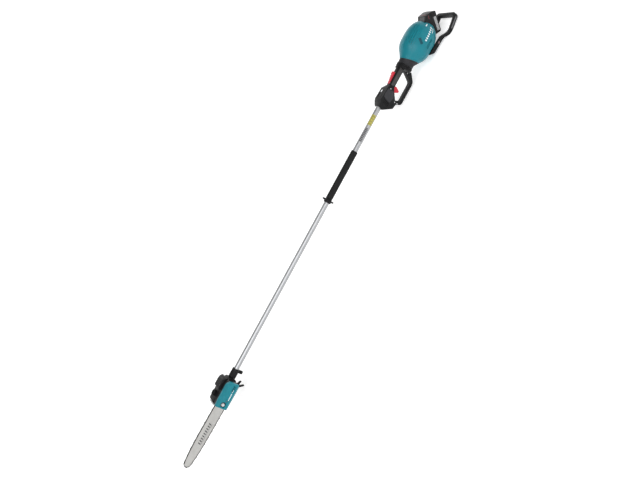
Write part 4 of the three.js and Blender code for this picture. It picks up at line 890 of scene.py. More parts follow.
def side_plates():
    """The grey facet on each side of the control housing."""
    for side, y in (("left", (-33.0, -31.0)), ("right", (31.0, 33.0))):
        proud = -0.7 if side == "left" else 0.7
        plate = outline("side_plate_" + side, SIDE_PLATE, "Y", y[0] + proud, y[1] + proud)
        keep(plate, outline("plan", mirrored([(x, w + 0.7) for x, w in HOUSING_PLAN]), "Z", -110, 60))
        round_edges(plate, 0.6, 2)
        finish(plate, "grey", body="power_head", slot="grey_plastic")


def grip_pads():
    """Soft rubber on both sides of the rear grip."""
    for side, y in (("left", -18), ("right", 18)):
        out = -0.8 if y < 0 else 0.8
        low, high = sorted((y * 0.9, y + out))
        pad = outline("grip_pad_" + side, (
            (134, -6, 4), (150, -13, 5), (238, -13, 4), (238, 9, 4), (134, 9, 4),
        ), "Y", low, high)
        round_edges(pad, 0.9, 2)
        finish(pad, "rubber", body="power_head", slot="grey_plastic")


def top_strip():
    """The smooth black strip along the top of the grip, behind the lever."""
    strip = outline("grip_top_strip", ((203, -8, 3), (243, -8, 3), (243, 8, 3), (203, 8, 3)), "Z", 14, 16.8)
    finish(round_edges(strip, 0.7, 2), "black", body="power_head", slot="black_plastic")


def control_panel():
    plate = block("panel", (46, 96), (-20, 20), (22, 25))
    round_edges(plate, 0.8, 2)
    holes = [block("tool", (x - 5.8, x + 5.8), (-5.8, 5.8), (20, 30)) for x in (60, 80)]
    holes.append(block("tool", (80.7, 94.3), (6.7, 16.3), (23.2, 30)))
    ring = [
        cut(
            outline("tool", (
                (x - 7.2, -7.2, 2.6), (x + 7.2, -7.2, 2.6), (x + 7.2, 7.2, 2.6), (x - 7.2, 7.2, 2.6),
            ), "Z", 24.5, 27),
            outline("tool", (
                (x - 6.6, -6.6, 2), (x + 6.6, -6.6, 2), (x + 6.6, 6.6, 2), (x - 6.6, 6.6, 2),
            ), "Z", 24, 28),
        )
        for x in (60, 80)
    ]
    finish(cut(plate, *holes, *ring), "black", "control_panel")
    for node, x in (("power_button", 60), ("mode_button", 80)):
        key = outline(node + "_key", (
            (x - 5.5, -5.5, 2), (x + 5.5, -5.5, 2), (x + 5.5, 5.5, 2), (x - 5.5, 5.5, 2),
        ), "Z", 23.6, 26.8)
        round_edges(key, 0.7, 2)
        finish(cut(key, rod("tool", "Z", 26.4, 28, 3.2, (x, 0), 24)), "grey", node)
    lens = outline("status_light", ((81, 7, 1.5), (94, 7, 1.5), (94, 16, 1.5), (81, 16, 1.5)), "Z", 23.5, 25.5)
    finish(round_edges(lens, 0.4, 2), "lens", "indicator_lens")


def trigger():
    blade = outline("trigger_blade", (
        (100, -9, 2), (112, -8, 2), (142, -22, 3), (144, -32, 3), (131, -58, 3), (123, -56, 2),
        (113, -38, 10), (100, -22, 3),
    ), "Y", -6, 6)
    cut(blade, rod("tool", "Y", -8, 8, 2.25, (106, -14), 24))
    finish(round_edges(blade, 1.6, 3), "red", "trigger")


def lock_lever():
    top = [(200, 16), (200, 28, 2)]
    for i in range(5, 0, -1):
        x = 148 + 10.2 * i
        z = 20 + 1.9 * i
        top += [(x - 3, z + 0.6), (x - 5, z - 2.4)]
        top += [(x - 9.4, z - 1.6)]
    lever = outline("lock_lever", [(135, 11), (146, 11), (150, 16), *top, (135, 19, 2)], "Y", -8.5, 8.5)
    cut(lever, rod("tool", "Y", -10, 10, 2.25, (140, 15), 24))
    finish(round_edges(lever, 0.9, 2), "red", "lock_off_lever")


def screw(name, axis, place, face, outward, radius, body=None, node=None):
    """A pan-head screw with a cross recess; its head's top lies at face, and outward is 1 or -1."""
    low, high = sorted((face, face - outward * 3))
    head = rod(name, axis, low, high, radius, place, 24)
    round_edges(head, 0.7, 2)
    top = sorted((face + outward, face - outward * 1.2))
    recess = []
    for u, v in ((radius * 0.62, radius * 0.14), (radius * 0.14, radius * 0.62)):
        spans = [(place[0] - u, place[0] + u), (place[1] - v, place[1] + v)]
        spans.insert(AXIS_INDEX[axis], top)
        recess.append(block("tool", *spans))
    cut(head, *recess)
    if node:
        finish(head, "steel", node)
    else:
        finish(head, "steel", body=body, slot="steel")


def handle_screws():
    screw("guard_screw_front", "Y", (70, -76.5), -15.2, -1, 4, node="handle_screw_front")
    screw("guard_screw_rear", "Y", (233, -45), -15.2, -1, 4, node="handle_screw_rear")
    for i, (x, z) in enumerate(((24, 8), (66, -50), (112, 4))):
        depth = {24: -30.2, 66: -33.2, 112: -29.0}[x]
        screw(f"housing_screw_{i}", "Y", (x, z), depth, -1, 3.4, body="power_head")


# ---------------------------------------------------------------- battery and guard frame


def battery_outline(name, points, low, high):
    """An outline drawn on the battery's side, as (out, slide) points, pushed across it."""
    obj = outline(name, points, "Y", low, high)
    centre = Vector((BATTERY_CENTRE[0], 0, BATTERY_CENTRE[1])) * MM
    home = Matrix.Translation(HOME * MM)
    lean = Matrix.Rotation(math.radians(BATTERY_LEAN), 4, "Y")
    obj.matrix_world = home @ Matrix.Translation(centre) @ lean @ home.inverted()
    bpy.context.view_layer.update()
    return settle(obj)


BATTERY_SLOPE = ((-38, 15), (-23.6, 50))  # the sloped corner that carries the latch, as (out, slide)
LATCH_START = 3.92
LATCH_LENGTH = 30
LATCH_HALF = 22


def on_slope(along, inward):
    """A point of the battery's side, measured along its sloped corner and straight into it."""
    foot, head = (Vector(point) for point in BATTERY_SLOPE)
    way = (head - foot).normalized()
    return tuple(foot + way * along + Vector((way.y, -way.x)) * inward)


def slope_slab(name, inset, low, high, wide, corner):
    start, end = LATCH_START + inset, LATCH_START + LATCH_LENGTH - inset
    corners = ((start, low, corner), (start, high, 0.5), (end, high, 0.5), (end, low, corner))
    points = [(*on_slope(along, inward), radius) for along, inward, radius in corners]
    return battery_outline(name, points, -wide, wide)


def battery():
    length, wide, deep = BATTERY_HALF
    case = battery_outline("battery_shell", (
        (-15.7, -56.9, 1), (36, -52, 9), (38, 54.6, 5), (15, 59, 8), (-15.7, 51.8, 1),
    ), -wide, wide)
    ribs = []
    for i in range(5):
        across = -24 + i * 12
        ribs.append(battery_block(
            "rib", (-length + 22, length - 26), (across - 1, across + 1), (deep - 2.8, deep + 2),
        ))
    for side in (-1, 1):
        edge = side * wide
        low, high = sorted((edge - side * 1.3, edge + side * 2))
        for i in range(3):
            out = i * 4.4
            ribs.append(battery_block("rib", (length - 34, length - 8), (low, high), (out, out + 1.8)))
    cut(case, gather("ribs", ribs))
    round_edges(case, 0.8, 2, 40)
    finish(case, "gloss_black", "battery_case")

    lid = battery_outline("battery_top_shell", (
        (-38, -59, 3), (-16, -56.9, 1), (-16, 51.8, 1), (-23.6, 50, 2), (-38, 15, 3),
    ), -wide, wide)
    latch_room = slope_slab("tool", -0.3, -6, 8.3, LATCH_HALF + 0.3, 0.4)
    rails = [
        battery_block("tool", (-length - 2, 8), (low, high), (-deep + 4, -deep + 8))
        for low, high in ((-wide - 2, -wide + 4), (wide - 4, wide + 2))
    ]
    cut(lid, latch_room, *rails)
    round_edges(lid, 0.7, 2, 40)
    finish(lid, "gloss_black", "battery_lid")

    latch = slope_slab("battery_latch_button", 0.1, 0.1, 4.9, LATCH_HALF - 0.1, 1.5)
    grooves = [
        battery_outline("tool", [
            on_slope(a, b) for a, b in ((8 + 6 * i, -1), (8 + 6 * i, 1), (10 + 6 * i, 1), (10 + 6 * i, -1))
        ], -15, 15)
        for i in range(4)
    ]
    finish(round_edges(cut(latch, *grooves), 0.4, 2, 40), "latch_grey", "battery_latch")


def battery_trim():
    length, wide, deep = BATTERY_HALF
    for side, name in ((-1, "battery_label_left"), (1, "battery_label_right")):
        low, high = sorted((side * (wide - 0.6), side * (wide + 0.25)))
        label = battery_outline(name, (
            (16, -length + 16, 2), (deep - 7, -length + 16, 2), (deep - 7, length - 30, 2), (16, length - 30, 2),
        ), low, high)
        finish(label, "battery_label", body="battery")
        stripe = battery_outline(name.replace("label", "stripe"), (
            (-12, length - 30, 1), (-9, length - 30, 1), (-9, length - 11, 1), (-12, length - 11, 1),
        ), low, high)
        finish(stripe, "dull_red", body="battery")
    band = battery_outline("battery_end_stripe", ((-14, 51.6), (-10, 52.5), (-10, 53.3), (-14, 52.4)), -24, 24)
    finish(round_edges(band, 0.1, 1), "dull_red", body="battery")
    gauge = battery_outline("battery_gauge", ((18, 57.6), (30, 55.3), (30, 56.3), (18, 58.6)), -14, 14)
    dots = [
        battery_block("tool", (length - 6, length + 1), (-10.5 + 6 * i, -7.5 + 6 * i), (22, 26)) for i in range(4)
    ]
    finish(cut(round_edges(gauge, 0.2, 1), *dots), "charcoal", body="battery")


GUARD_SIDE = (
    (366, -88), (388, -107, 6), (481, -108, 8), (503, -119, 8), (529, -119, 9), (606, -106, 4), (614, -98, 3),
    (614, -82), (599, -82), (595, -88, 3), (523, -102, 6), (507, -102, 6), (479, -90, 8), (386, -86),
)
GUARD_RIGHT = ((366, 52.5), (475, 56.5, 12), (515, 83, 12), (604, 83, 5), (614, 73, 5))
GUARD_GAP = ((366, 37.5), (481, 41.5, 12), (521, 68, 12), (599, 68, 5))


def guard_frame():
    side = outline("guard_loop", GUARD_SIDE, "Y", -100, 100)
    left = [(x, -y, *r) for x, y, *r in GUARD_RIGHT]
    inner = [(x, -y, *r) for x, y, *r in GUARD_GAP]
    plan = [*GUARD_RIGHT, *reversed(left), *inner, *reversed(GUARD_GAP)]
    keep(side, outline("plan", plan, "Z", -150, -10))
    round_edges(side, 2.6, 3, 25)
    cut(side, shell_solid("core", -0.3))
    pockets = [
        outline("tool", ((533, -113, 2), (598, -103, 2), (601, -94, 2), (534, -104, 2)), "Y", *y)
        for y in ((-90, -81.8), (81.8, 90))
    ]
    cut(side, *pockets)
    finish(side, "guard", "guard_frame")
    # Pale grey strips along the guard's sides: a painted highlight where the loop's side catches the light.
    for name, y in (("guard_strip_left", (-82.8, -80)), ("guard_strip_right", (80, 82.8))):
        strip = outline(name, ((534, -112, 2), (597.5, -102.5, 2), (600, -95, 2), (535, -104.6, 2)), "Y", *y)
        finish(round_edges(strip, 0.3, 1), "pale_grey", body="power_head", slot="grey_plastic")
    for name, y in (("guard_boss_left", (-57.5, -44)), ("guard_boss_right", (44, 57.5))):
        boss = rod(name, "Y", *y, 6, (446, -98), 32)
        outer = y[0] if y[0] < 0 else y[1]
        cut(round_edges(boss, 0.8, 2), rod("tool", "Y", outer - 1.5, outer + 1.5, 3.4, (446, -98), 6))
        finish(boss, "dull_pink", body="power_head", slot="grey_plastic")


# ---------------------------------------------------------------- pole, grip, stop and collar

TUBE_RADIUS = 13.5
TUBE_BORE = 12.2
POLE_FRONT = -1570
COLLAR_REAR = -1527
COLLAR_FRONT = -1578


def pole():
    tube = spun("outer_pole", (
        (POLE_FRONT, TUBE_BORE), (POLE_FRONT, TUBE_RADIUS - 0.4), (POLE_FRONT + 0.4, TUBE_RADIUS),
        (92, TUBE_RADIUS), (92, TUBE_BORE), (POLE_FRONT, TUBE_BORE),
    ), 0, steps=72)
    finish(tube, "aluminium", "outer_tube")
    box = [corner.x / MM - HOME.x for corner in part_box("inner_tube")]
    inner = spun("inner_pole", (
        (box[0], 10.6), (box[0], 11.6), (box[0] + 0.3, 11.9), (box[1] - 0.3, 11.9), (box[1], 11.6),
        (box[1], 10.6), (box[0], 10.6),
    ), 0, steps=64)
    finish(inner, "aluminium", "inner_tube")
    patches = (
        ("pole_sleeve_dark", "spec_label", -198, -119, ((0, 0), (-9, 20), (-20, 20), (-20, 0))),
        ("pole_sleeve_yellow", "yellow_label", -101, -42, ((0, 0), (-2, 20), (-20, 20), (-20, -9))),
    )
    for name, finish_name, low, high, side in patches:
        sleeve = spun(name, (
            (low, TUBE_RADIUS), (low, TUBE_RADIUS + 0.14), (high, TUBE_RADIUS + 0.14), (high, TUBE_RADIUS),
            (low, TUBE_RADIUS),
        ), 0, steps=72)
        keep(sleeve, outline("side", side, "X", low - 1, high + 1))
        finish(sleeve, finish_name, body="power_head")


FOAM_FRONT = -536
FOAM_REAR = -253
FOAM_RADIUS = 17.5


def foam_grip():
    bore = TUBE_RADIUS + 0.3
    edge = [(FOAM_RADIUS - 4 + 4 * math.sin(a), 4 - 4 * math.cos(a)) for a in (0, 0.4, 0.8, 1.2, math.pi / 2)]
    front = [(FOAM_FRONT + x, r) for r, x in edge]
    rear = [(FOAM_REAR - x, r) for r, x in reversed(edge)]
    middle = [(FOAM_FRONT + 4 + 27.5 * i, FOAM_RADIUS - 0.2 * (i % 2)) for i in range(1, 10)]
    profile = [(FOAM_FRONT, bore), *front, *middle, *rear, (FOAM_REAR, bore), (FOAM_FRONT, bore)]
    grip = spun("foam_sleeve", profile, 0, 72)
    finish(grip, "foam", "foam_grip")


def hand_stop():
    front, bore = -554.3, TUBE_RADIUS + 0.3
    stop = spun("stop_flange", (
        (front, bore), (front, 17.6), (front + 1.2, 19), (front + 7.6, 20), (front + 9, 21.2), (front + 9.3, 29.8),
        (front + 11.2, 32), (front + 15.8, 32), (front + 17.6, 30), (front + 17.9, 25), (front + 17.9, bore),
        (front, bore),
    ), 0, steps=72)
    nicks = []
    for i in range(12):
        nick = rod("nick", "X", front + 6, front + 22, 3, (0, 33.4), 16)
        nicks.append(turned_about(nick, "X", 15 + i * 30, (0, 0, 0)))
    cut(stop, gather("nicks", nicks))
    finish(stop, "black", "hand_stop")


def lock_collar():
    r, bore, lip = 19.5, TUBE_RADIUS + 0.3, 12.15
    body = spun("clamp_collar", (
        (COLLAR_FRONT, lip), (COLLAR_FRONT, 17.4), (COLLAR_FRONT + 1.6, 18.8), (COLLAR_FRONT + 6, r),
        (COLLAR_FRONT + 6.4, r - 1), (COLLAR_FRONT + 8.6, r - 1), (COLLAR_FRONT + 9, r), (COLLAR_REAR - 20, r),
        (COLLAR_REAR - 19.6, r - 1), (COLLAR_REAR - 17.6, r - 1), (COLLAR_REAR - 17.2, r), (COLLAR_REAR - 1.6, r),
        (COLLAR_REAR, 18), (COLLAR_REAR, bore), (-1570.3, bore), (-1570.3, lip), (COLLAR_FRONT, lip),
    ), 0, steps=72)
    lug = outline("lug", (
        (COLLAR_REAR - 17, -26, 3), (COLLAR_REAR, -26, 3), (COLLAR_REAR, -14.5), (COLLAR_REAR - 17, -14.5),
    ), "Y", -6.5, 6.5)
    weld(body, round_edges(lug, 1, 2))
    cut(body, block("tool", (COLLAR_REAR - 18, COLLAR_REAR + 2), (-0.9, 0.9), (-25, -14)))
    flutes = []
    for i in range(20):
        if i in (9, 10, 11):
            continue
        flute = rod("flute", "X", COLLAR_FRONT + 11, COLLAR_REAR - 22, 1.5, (0, r + 0.5), 10)
        flutes.append(turned_about(flute, "X", i * 18, (0, 0, 0)))
    cut(body, gather("flutes", flutes))
    cut(body, rod("tool", "Z", -30, -19, 2.75, (COLLAR_REAR - 8.5, 0), 24))
    finish(body, "black", "lock_collar")


def star(name, axis, low, high, radius, depth, lobes, place, round_by=1.0):
    """A knob with scallops round it."""
    knob = rod(name, axis, low, high, radius, place, 96)
    round_edges(knob, round_by, 3)
    bites = []
    for i in range(lobes):
        angle = 2 * math.pi * (i + 0.5) / lobes
        bite = radius * math.pi / lobes * 0.62
        offset = radius + bite - depth
        centre = (place[0] + offset * math.cos(angle), place[1] + offset * math.sin(angle))
        bites.append(rod("bite", axis, low - 5, high + 5, bite, centre, 20))
    return cut(knob, gather("bites", bites))


def lock_knob():
    x = COLLAR_REAR - 8.5
    knob = star("clamp_knob", "Z", -39.3, -26.3, 9.5, 2, 6, (x, 0))
    cut(knob, rod("tool", "Z", -42, -38.5, 4, (x, 0), 24))
    weld(knob, rod("stem", "Z", -27, -20, 2.5, (x, 0), 20))
    finish(knob, "black", "lock_knob")


# ---------------------------------------------------------------- saw head

HEAD_REAR = -1579.5
CASE_FRONT = HEAD_REAR - 150
SPINDLE = HEAD_REAR - 72
CASE_TOP = 29
CASE_BOTTOM = -30
CASE_SIDE = 29
CAP_X = CASE_FRONT + 46


def gear_case():
    case = outline("head_case", (
        (CASE_FRONT + 10, CASE_BOTTOM, 4), (HEAD_REAR - 12, CASE_BOTTOM, 6), (HEAD_REAR, -19.5, 3),
        (HEAD_REAR, 19.5, 3), (HEAD_REAR - 10, CASE_TOP, 5), (CASE_FRONT + 6, CASE_TOP, 3),
        (CASE_FRONT, CASE_TOP - 8, 3), (CASE_FRONT, CASE_BOTTOM + 14, 4),
    ), "Y", -23.7, CASE_SIDE)
    round_edges(case, 3, 3)
    fins = [
        block("fin", (SPINDLE - 40 + 11 * i, SPINDLE - 34 + 11 * i), (CASE_SIDE - 2.2, CASE_SIDE + 2), (-18, 18))
        for i in range(8)
    ]
    room = block("tool", (SPINDLE - 24, SPINDLE + 30), (-40, 20), (-23, 23))
    bores = [
        rod("tool", "X", HEAD_REAR - 20.3, HEAD_REAR + 5, 12.2, (0, 0), 48),
        rod("tool", "X", SPINDLE + 10, HEAD_REAR, 8, (0, 0), 32),
    ]
    cut(case, gather("fins", fins), room, *bores)
    finish(case, "black", "gear_case")
    places = ((CASE_FRONT + 14, 19), (HEAD_REAR - 18, 19), (CASE_FRONT + 18, -20), (HEAD_REAR - 20, -20))
    for i, (x, z) in enumerate(places):
        screw(f"case_screw_{i}", "Y", (x, z), CASE_SIDE + 1.2, 1, 4, body="saw_head")


def case_cover():
    plate = outline("head_case_cover", (
        (CASE_FRONT + 10, CASE_BOTTOM, 4), (HEAD_REAR - 14, CASE_BOTTOM, 4), (HEAD_REAR - 8, 0, 10),
        (HEAD_REAR - 14, CASE_TOP, 4), (CASE_FRONT + 6, CASE_TOP, 3), (CASE_FRONT, CASE_TOP - 8, 3),
        (CASE_FRONT, CASE_BOTTOM + 14, 4),
    ), "Y", -CASE_SIDE, -24)
    round_edges(plate, 0.8, 2)
    seat = outline("seat", (
        (SPINDLE - 72, -11, 5), (SPINDLE - 37, -11, 5), (SPINDLE - 37, 11, 5), (SPINDLE - 72, 11, 5),
    ), "Y", -41.5, -28.5)
    weld(plate, round_edges(seat, 0.8, 2))
    spindle_hole = rod("tool", "Y", -50, 0, 11.3, (SPINDLE, 0), 40)
    cut(plate, spindle_hole, rod("tool", "Y", -50, 0, 4.3, (SPINDLE - 58, 0), 24))
    finish(plate, "charcoal", "gear_case_cover")


TANK_SIDE = (
    (CASE_FRONT + 4, 29.3, 2), (HEAD_REAR - 10, 29.3), (HEAD_REAR - 6, 36, 4), (HEAD_REAR - 14, 47, 10),
    (HEAD_REAR - 26, 52, 8), (HEAD_REAR - 72, 52, 4), (HEAD_REAR - 74, 41, 2), (CASE_FRONT + 4, 41, 3),
)


def oil_tank():
    tank = outline("oil_tank_shell", TANK_SIDE, "Y", -29, 34)
    round_edges(tank, 3, 3)
    belt = cut(
        block("belt", (CASE_FRONT - 5, HEAD_REAR + 5), (-40, 40), (34.4, 35.6)),
        block("core", (CASE_FRONT + 5, HEAD_REAR - 10), (-28, 33), (30, 40)),
    )
    ribs = []
    for i in range(5):
        x = HEAD_REAR - 64 + 8 * i
        ribs.append(block("rib", (x, x + 3), (-24, 29), (51, 60)))
    cut(tank, belt, gather("ribs", ribs), rod("tool", "Z", 38, 60, 10.3, (CAP_X, 0), 48))
    finish(tank, "black", "oil_tank")
    ring = spun_z("filler_ring", ((10.4, 41), (10.4, 41.6), (14.5, 41.6), (15, 41.2), (15, 41)), (CAP_X, 0), 48)
    finish(ring, "grey", body="saw_head", slot="grey_plastic")
    strip = outline("tank_strip", (
        (CASE_FRONT + 8, 30.6, 1), (HEAD_REAR - 80, 30.6, 1), (HEAD_REAR - 80, 33.4, 1), (CASE_FRONT + 8, 33.4, 1),
    ), "Y", -29.5, -28.4)
    finish(round_edges(strip, 0.2, 1), "dull_red", body="saw_head")


def spun_z(name, profile, place, steps):
    """A profile of (radius, z) points spun round an upright axis."""
    only(None)
    start = spot(place[0] + profile[0][0], place[1], profile[0][1])
    bpy.ops.mesh.primitive_plane_add(size=0.001, location=start)
    obj = named(name)
    editing(obj, "VERT")
    bpy.ops.mesh.select_all(action="SELECT")
    bpy.ops.mesh.merge(type="CENTER")
    for before, after in zip([*profile], [*profile[1:], profile[0]]):
        step = Vector((after[0] - before[0], 0, after[1] - before[1])) * MM
        bpy.ops.mesh.extrude_region_move(TRANSFORM_OT_translate={"value": step})
    bpy.ops.mesh.select_all(action="SELECT")
    bpy.ops.mesh.spin(steps=steps, angle=2 * math.pi, center=spot(place[0], place[1], 0), axis=(0, 0, 1))
    bpy.ops.mesh.select_all(action="SELECT")
    bpy.ops.mesh.remove_doubles(threshold=0.01 * MM)
    bpy.ops.mesh.select_all(action="SELECT")
    bpy.ops.mesh.normals_make_consistent(inside=False)
    done()
    return obj


def oil_cap():
    cap = star("filler_cap", "Z", 41.3, 54.3, 16, 1.1, 18, (CAP_X, 0), 1.6)
    bowl = rod("tool", "Z", 52, 56, 11.5, (CAP_X, 0), 48)
    web = block("web", (CAP_X - 12, CAP_X + 12), (-2.2, 2.2), (50, 54))
    cut(cap, bowl)
    weld(cap, round_edges(web, 0.8, 2))
    weld(cap, rod("plug", "Z", 38.6, 42, 9.7, (CAP_X, 0), 48))
    finish(cap, "black", "oil_cap")


COVER_SHAPE = (
    (CASE_FRONT, -35, 5), (CASE_FRONT + 36, -36), (CASE_FRONT + 66, -38, 20), (HEAD_REAR - 18, -38, 6),
    (HEAD_REAR - 6, -28, 5), (HEAD_REAR - 6, 24, 8), (HEAD_REAR - 22, 40, 10), (CASE_FRONT + 50, 40, 30),
    (CASE_FRONT, 38, 6),
)
COVER_SIDE = 64
COVER_LOW = -38
COVER_SLOPE = 11
COVER_SPLIT = -52  # the teal cap outside it, the black base inside
NUT_X = SPINDLE - 58
TENSIONER = (SPINDLE - 34, -8)


def grown(points, amount, centre):
    """An outline made smaller towards a centre by about an amount on every side."""
    return [
        (x + math.copysign(min(amount, abs(centre[0] - x)), centre[0] - x),
         z + math.copysign(min(amount, abs(centre[1] - z)), centre[1] - z), *r)
        for x, z, *r in points
    ]


def cover_section(inset):
    """The cover's section across its length, with the slope along its lower outer edge."""
    far, low = -COVER_SIDE + inset, COVER_LOW + inset
    section = ((far, low + COVER_SLOPE), (far + COVER_SLOPE, low), (0, low), (0, 80), (far, 80))
    return outline("section", section, "X", CASE_FRONT - 9, HEAD_REAR)


def bar_cover():
    cover = outline("bar_cover", COVER_SHAPE, "Y", -COVER_SIDE, -29.3)
    keep(cover, cover_section(0))
    centre = ((CASE_FRONT + HEAD_REAR) / 2, -1)
    hollow = outline("hollow", [p[:2] for p in grown(COVER_SHAPE, 2.5, centre)], "Y", -COVER_SIDE + 2.5, -20)
    keep(hollow, cover_section(2.5))
    mouth = block("mouth", (CASE_FRONT - 5, CASE_FRONT + 8), (-54, -20), (-32.5, 35.5))
    cut(cover, hollow, mouth)
    pad = rod("pad", "Y", -COVER_SIDE + 1, -50, 15.5, (NUT_X, 0), 48)
    weld(cover, pad)
    recess = outline("recess", (
        (NUT_X - 13, -13, 8), (NUT_X + 16, -13, 8), (NUT_X + 16, 13, 8), (NUT_X - 13, 13, 8),
    ), "Y", -COVER_SIDE - 3, -COVER_SIDE + 8)
    keep(recess, rod("tool", "Y", -70, -50, 15.4, (NUT_X, 0), 48))
    holes = [
        rod("tool", "Y", -70, 0, 4.3, (NUT_X, 0), 24),
        rod("tool", "Y", -70, 0, 3.3, TENSIONER, 24),
        rod("tool", "Y", -70, -COVER_SIDE + 1.2, 6, TENSIONER, 24),
    ]
    slots = [
        outline("slot", ((x, -17, 1), (x + 4, -17, 1), (x + 10, -4, 1), (x + 6, -4, 1)), "Y", -70, -58)
        for x in (HEAD_REAR - 56, HEAD_REAR - 47, HEAD_REAR - 38, HEAD_REAR - 29)
    ]
    panel = cut(
        outline("panel", (
            (CASE_FRONT + 60, -21, 6), (HEAD_REAR - 14, -21, 6), (HEAD_REAR - 14, 18, 8), (HEAD_REAR - 30, 26, 8),
            (CASE_FRONT + 48, 26, 10), (CASE_FRONT + 52, 0, 8),
        ), "Y", -70, -COVER_SIDE + 0.9),
        outline("island", (
            (CASE_FRONT + 61.2, -19.8, 5), (HEAD_REAR - 15.2, -19.8, 5), (HEAD_REAR - 15.2, 17.5, 7),
            (HEAD_REAR - 30.4, 24.8, 7), (CASE_FRONT + 49.5, 24.8, 9), (CASE_FRONT + 53.4, 0, 7),
        ), "Y", -72, -60),
    )
    cut(cover, recess, *holes, gather("slots", slots), panel)
    base = copy_of(cover, "cover_base")
    keep(base, block("tool", (CASE_FRONT - 5, HEAD_REAR), (COVER_SPLIT + 0.1, -20), (-50, 50)))
    cut(cover, block("tool", (CASE_FRONT - 5, HEAD_REAR), (COVER_SPLIT - 0.1, -20), (-50, 50)))
    finish(base, "black", body="saw_head", slot="black_plastic")
    round_edges(cover, 1.2, 3, 40)
    finish(cover, "teal", "sprocket_cover")
    ridge = outline("cover_ridge", (
        (CASE_FRONT + 6, 28.5, 1), (CASE_FRONT + 48, 31.5), (HEAD_REAR - 26, 31.5, 1), (HEAD_REAR - 23, 34.2, 1),
        (CASE_FRONT + 47, 34.2), (CASE_FRONT + 6, 31.2, 1),
    ), "Y", -COVER_SIDE - 1.1, -COVER_SIDE + 4)
    finish(round_edges(ridge, 0.5, 3), "teal", body="saw_head", slot="teal_plastic")
    # A black disc on the floor of the nut's recess: painted shade in the recess.
    ring = cut(
        rod("nut_cup", "Y", -COVER_SIDE + 5.6, -COVER_SIDE + 7.9, 13.2, (NUT_X, 0), 48),
        rod("tool", "Y", -70, -50, 4.4, (NUT_X, 0), 24),
    )
    finish(ring, "black", body="saw_head", slot="black_plastic")


def cover_mark():
    dashes = [
        outline("dash", (
            (x, -16.5), (x + 5, -16.5), (x + 7, -11.5), (x + 2, -11.5),
        ), "Y", -COVER_SIDE - 0.12, -COVER_SIDE + 1)
        for x in (HEAD_REAR - 100, HEAD_REAR - 92, HEAD_REAR - 84, HEAD_REAR - 76, HEAD_REAR - 68)
    ]
    finish(gather("cover_mark", dashes), "white_paint", body="saw_head")


def fasteners():
    stud = rod("bar_stud_rod", "Y", -64.3, -24, 4, (NUT_X, 0), 32)
    finish(round_edges(stud, 0.6, 2), "steel", "bar_stud")
    nut = rod("hex_nut", "Y", -64.3, -58.6, 9, (NUT_X, 0), 6)
    round_edges(nut, 0.7, 2)
    flange = rod("flange", "Y", -58.8, -56.3, 9, (NUT_X, 0), 48)
    weld(nut, flange)
    cut(nut, rod("tool", "Y", -70, -50, 4.3, (NUT_X, 0), 32))
    finish(nut, "steel", "bar_nut")
    screw_rod = rod("tension_screw_rod", "Y", -64.5, -48.4, 3, TENSIONER, 32)
    round_edges(screw_rod, 0.4, 1)
    cut(screw_rod, block("tool", (TENSIONER[0] - 0.6, TENSIONER[0] + 0.6), (-66, -63.6), (-12, -4)))
    finish(screw_rod, "dark_steel", "tension_screw")


def bumper():
    front = CASE_FRONT - 0.3
    root = CASE_TOP - 20
    points = [(front, root), (front - 3, root)]
    for i in range(3):
        points += [(front - 10, root + 9 * (i + 0.6), 0.8), (front - 3, root + 9 * (i + 1), 0.6)]
    points.append((front, root + 27))
    spike = outline("branch_spikes", points, "Y", -26, 26)
    bites = [block("bite", (front - 12, front - 3.2), (y - 3, y + 3), (root - 2, root + 30)) for y in (-13, 0, 13)]
    cut(spike, gather("bites", bites))
    finish(round_edges(spike, 0.4, 1), "steel", "bumper_spike")


def hook():
    rear = HEAD_REAR - 12
    top = CASE_BOTTOM - 0.3
    prong = outline("pull_hook", (
        (rear - 40, top, 1), (rear - 4, top, 3), (rear + 22, top - 10, 3), (rear + 20, top - 18, 3),
        (rear - 6, top - 12, 5), (rear + 10, -70, 3), (rear + 3, -74, 3), (rear - 20, top - 12, 6),
        (rear - 40, top - 10, 2),
    ), "Y", -CASE_SIDE, -CASE_SIDE + 9)
    finish(round_edges(prong, 1.8, 3), "black", "branch_hook")


# ---------------------------------------------------------------- bar and chain

BAR_TILT = 1.1
BAR_REACH = 433
BAR_HALF = 26
NOSE_RADIUS = 16
NOSE_X = BAR_REACH - 6.3 - NOSE_RADIUS
BAR_TAPER = 64
BAR_WIDEST = 150
SPROCKET_RADIUS = 16
BAR_Y = -44


def bar_half(distance):
    if distance < BAR_TAPER:
        return SPROCKET_RADIUS + (BAR_HALF - SPROCKET_RADIUS) * distance / BAR_TAPER
    t = max(0, (distance - BAR_WIDEST) / (NOSE_X - BAR_WIDEST))
    return BAR_HALF - (BAR_HALF - NOSE_RADIUS) * t ** 4


def bar_edge(grow, tail, steps=14):
    """The bar's outline grown by an amount, as (x, z) points ahead of the spindle."""
    distances = [tail] if tail < BAR_TAPER else []
    distances += [BAR_TAPER + (NOSE_X - BAR_TAPER) * i / steps for i in range(steps + 1)]
    upper = [(-d, bar_half(d) + grow) for d in distances]
    r = NOSE_RADIUS + grow
    nose = [
        (-NOSE_X + r * math.cos(a), r * math.sin(a))
        for a in (math.pi / 2 + math.pi * i / 16 for i in range(1, 16))
    ]
    return [*upper, *nose, *[(x, -z) for x, z in reversed(upper)]]


def tilted(obj):
    """Moves a piece made round the spindle's own origin to the spindle, nose up by the bar's tilt."""
    home = Matrix.Translation(HOME * MM)
    turn = Matrix.Rotation(math.radians(BAR_TILT), 4, "Y")
    obj.matrix_world = home @ Matrix.Translation(Vector((SPINDLE, 0, 0)) * MM) @ turn @ home.inverted()
    bpy.context.view_layer.update()
    return settle(obj)


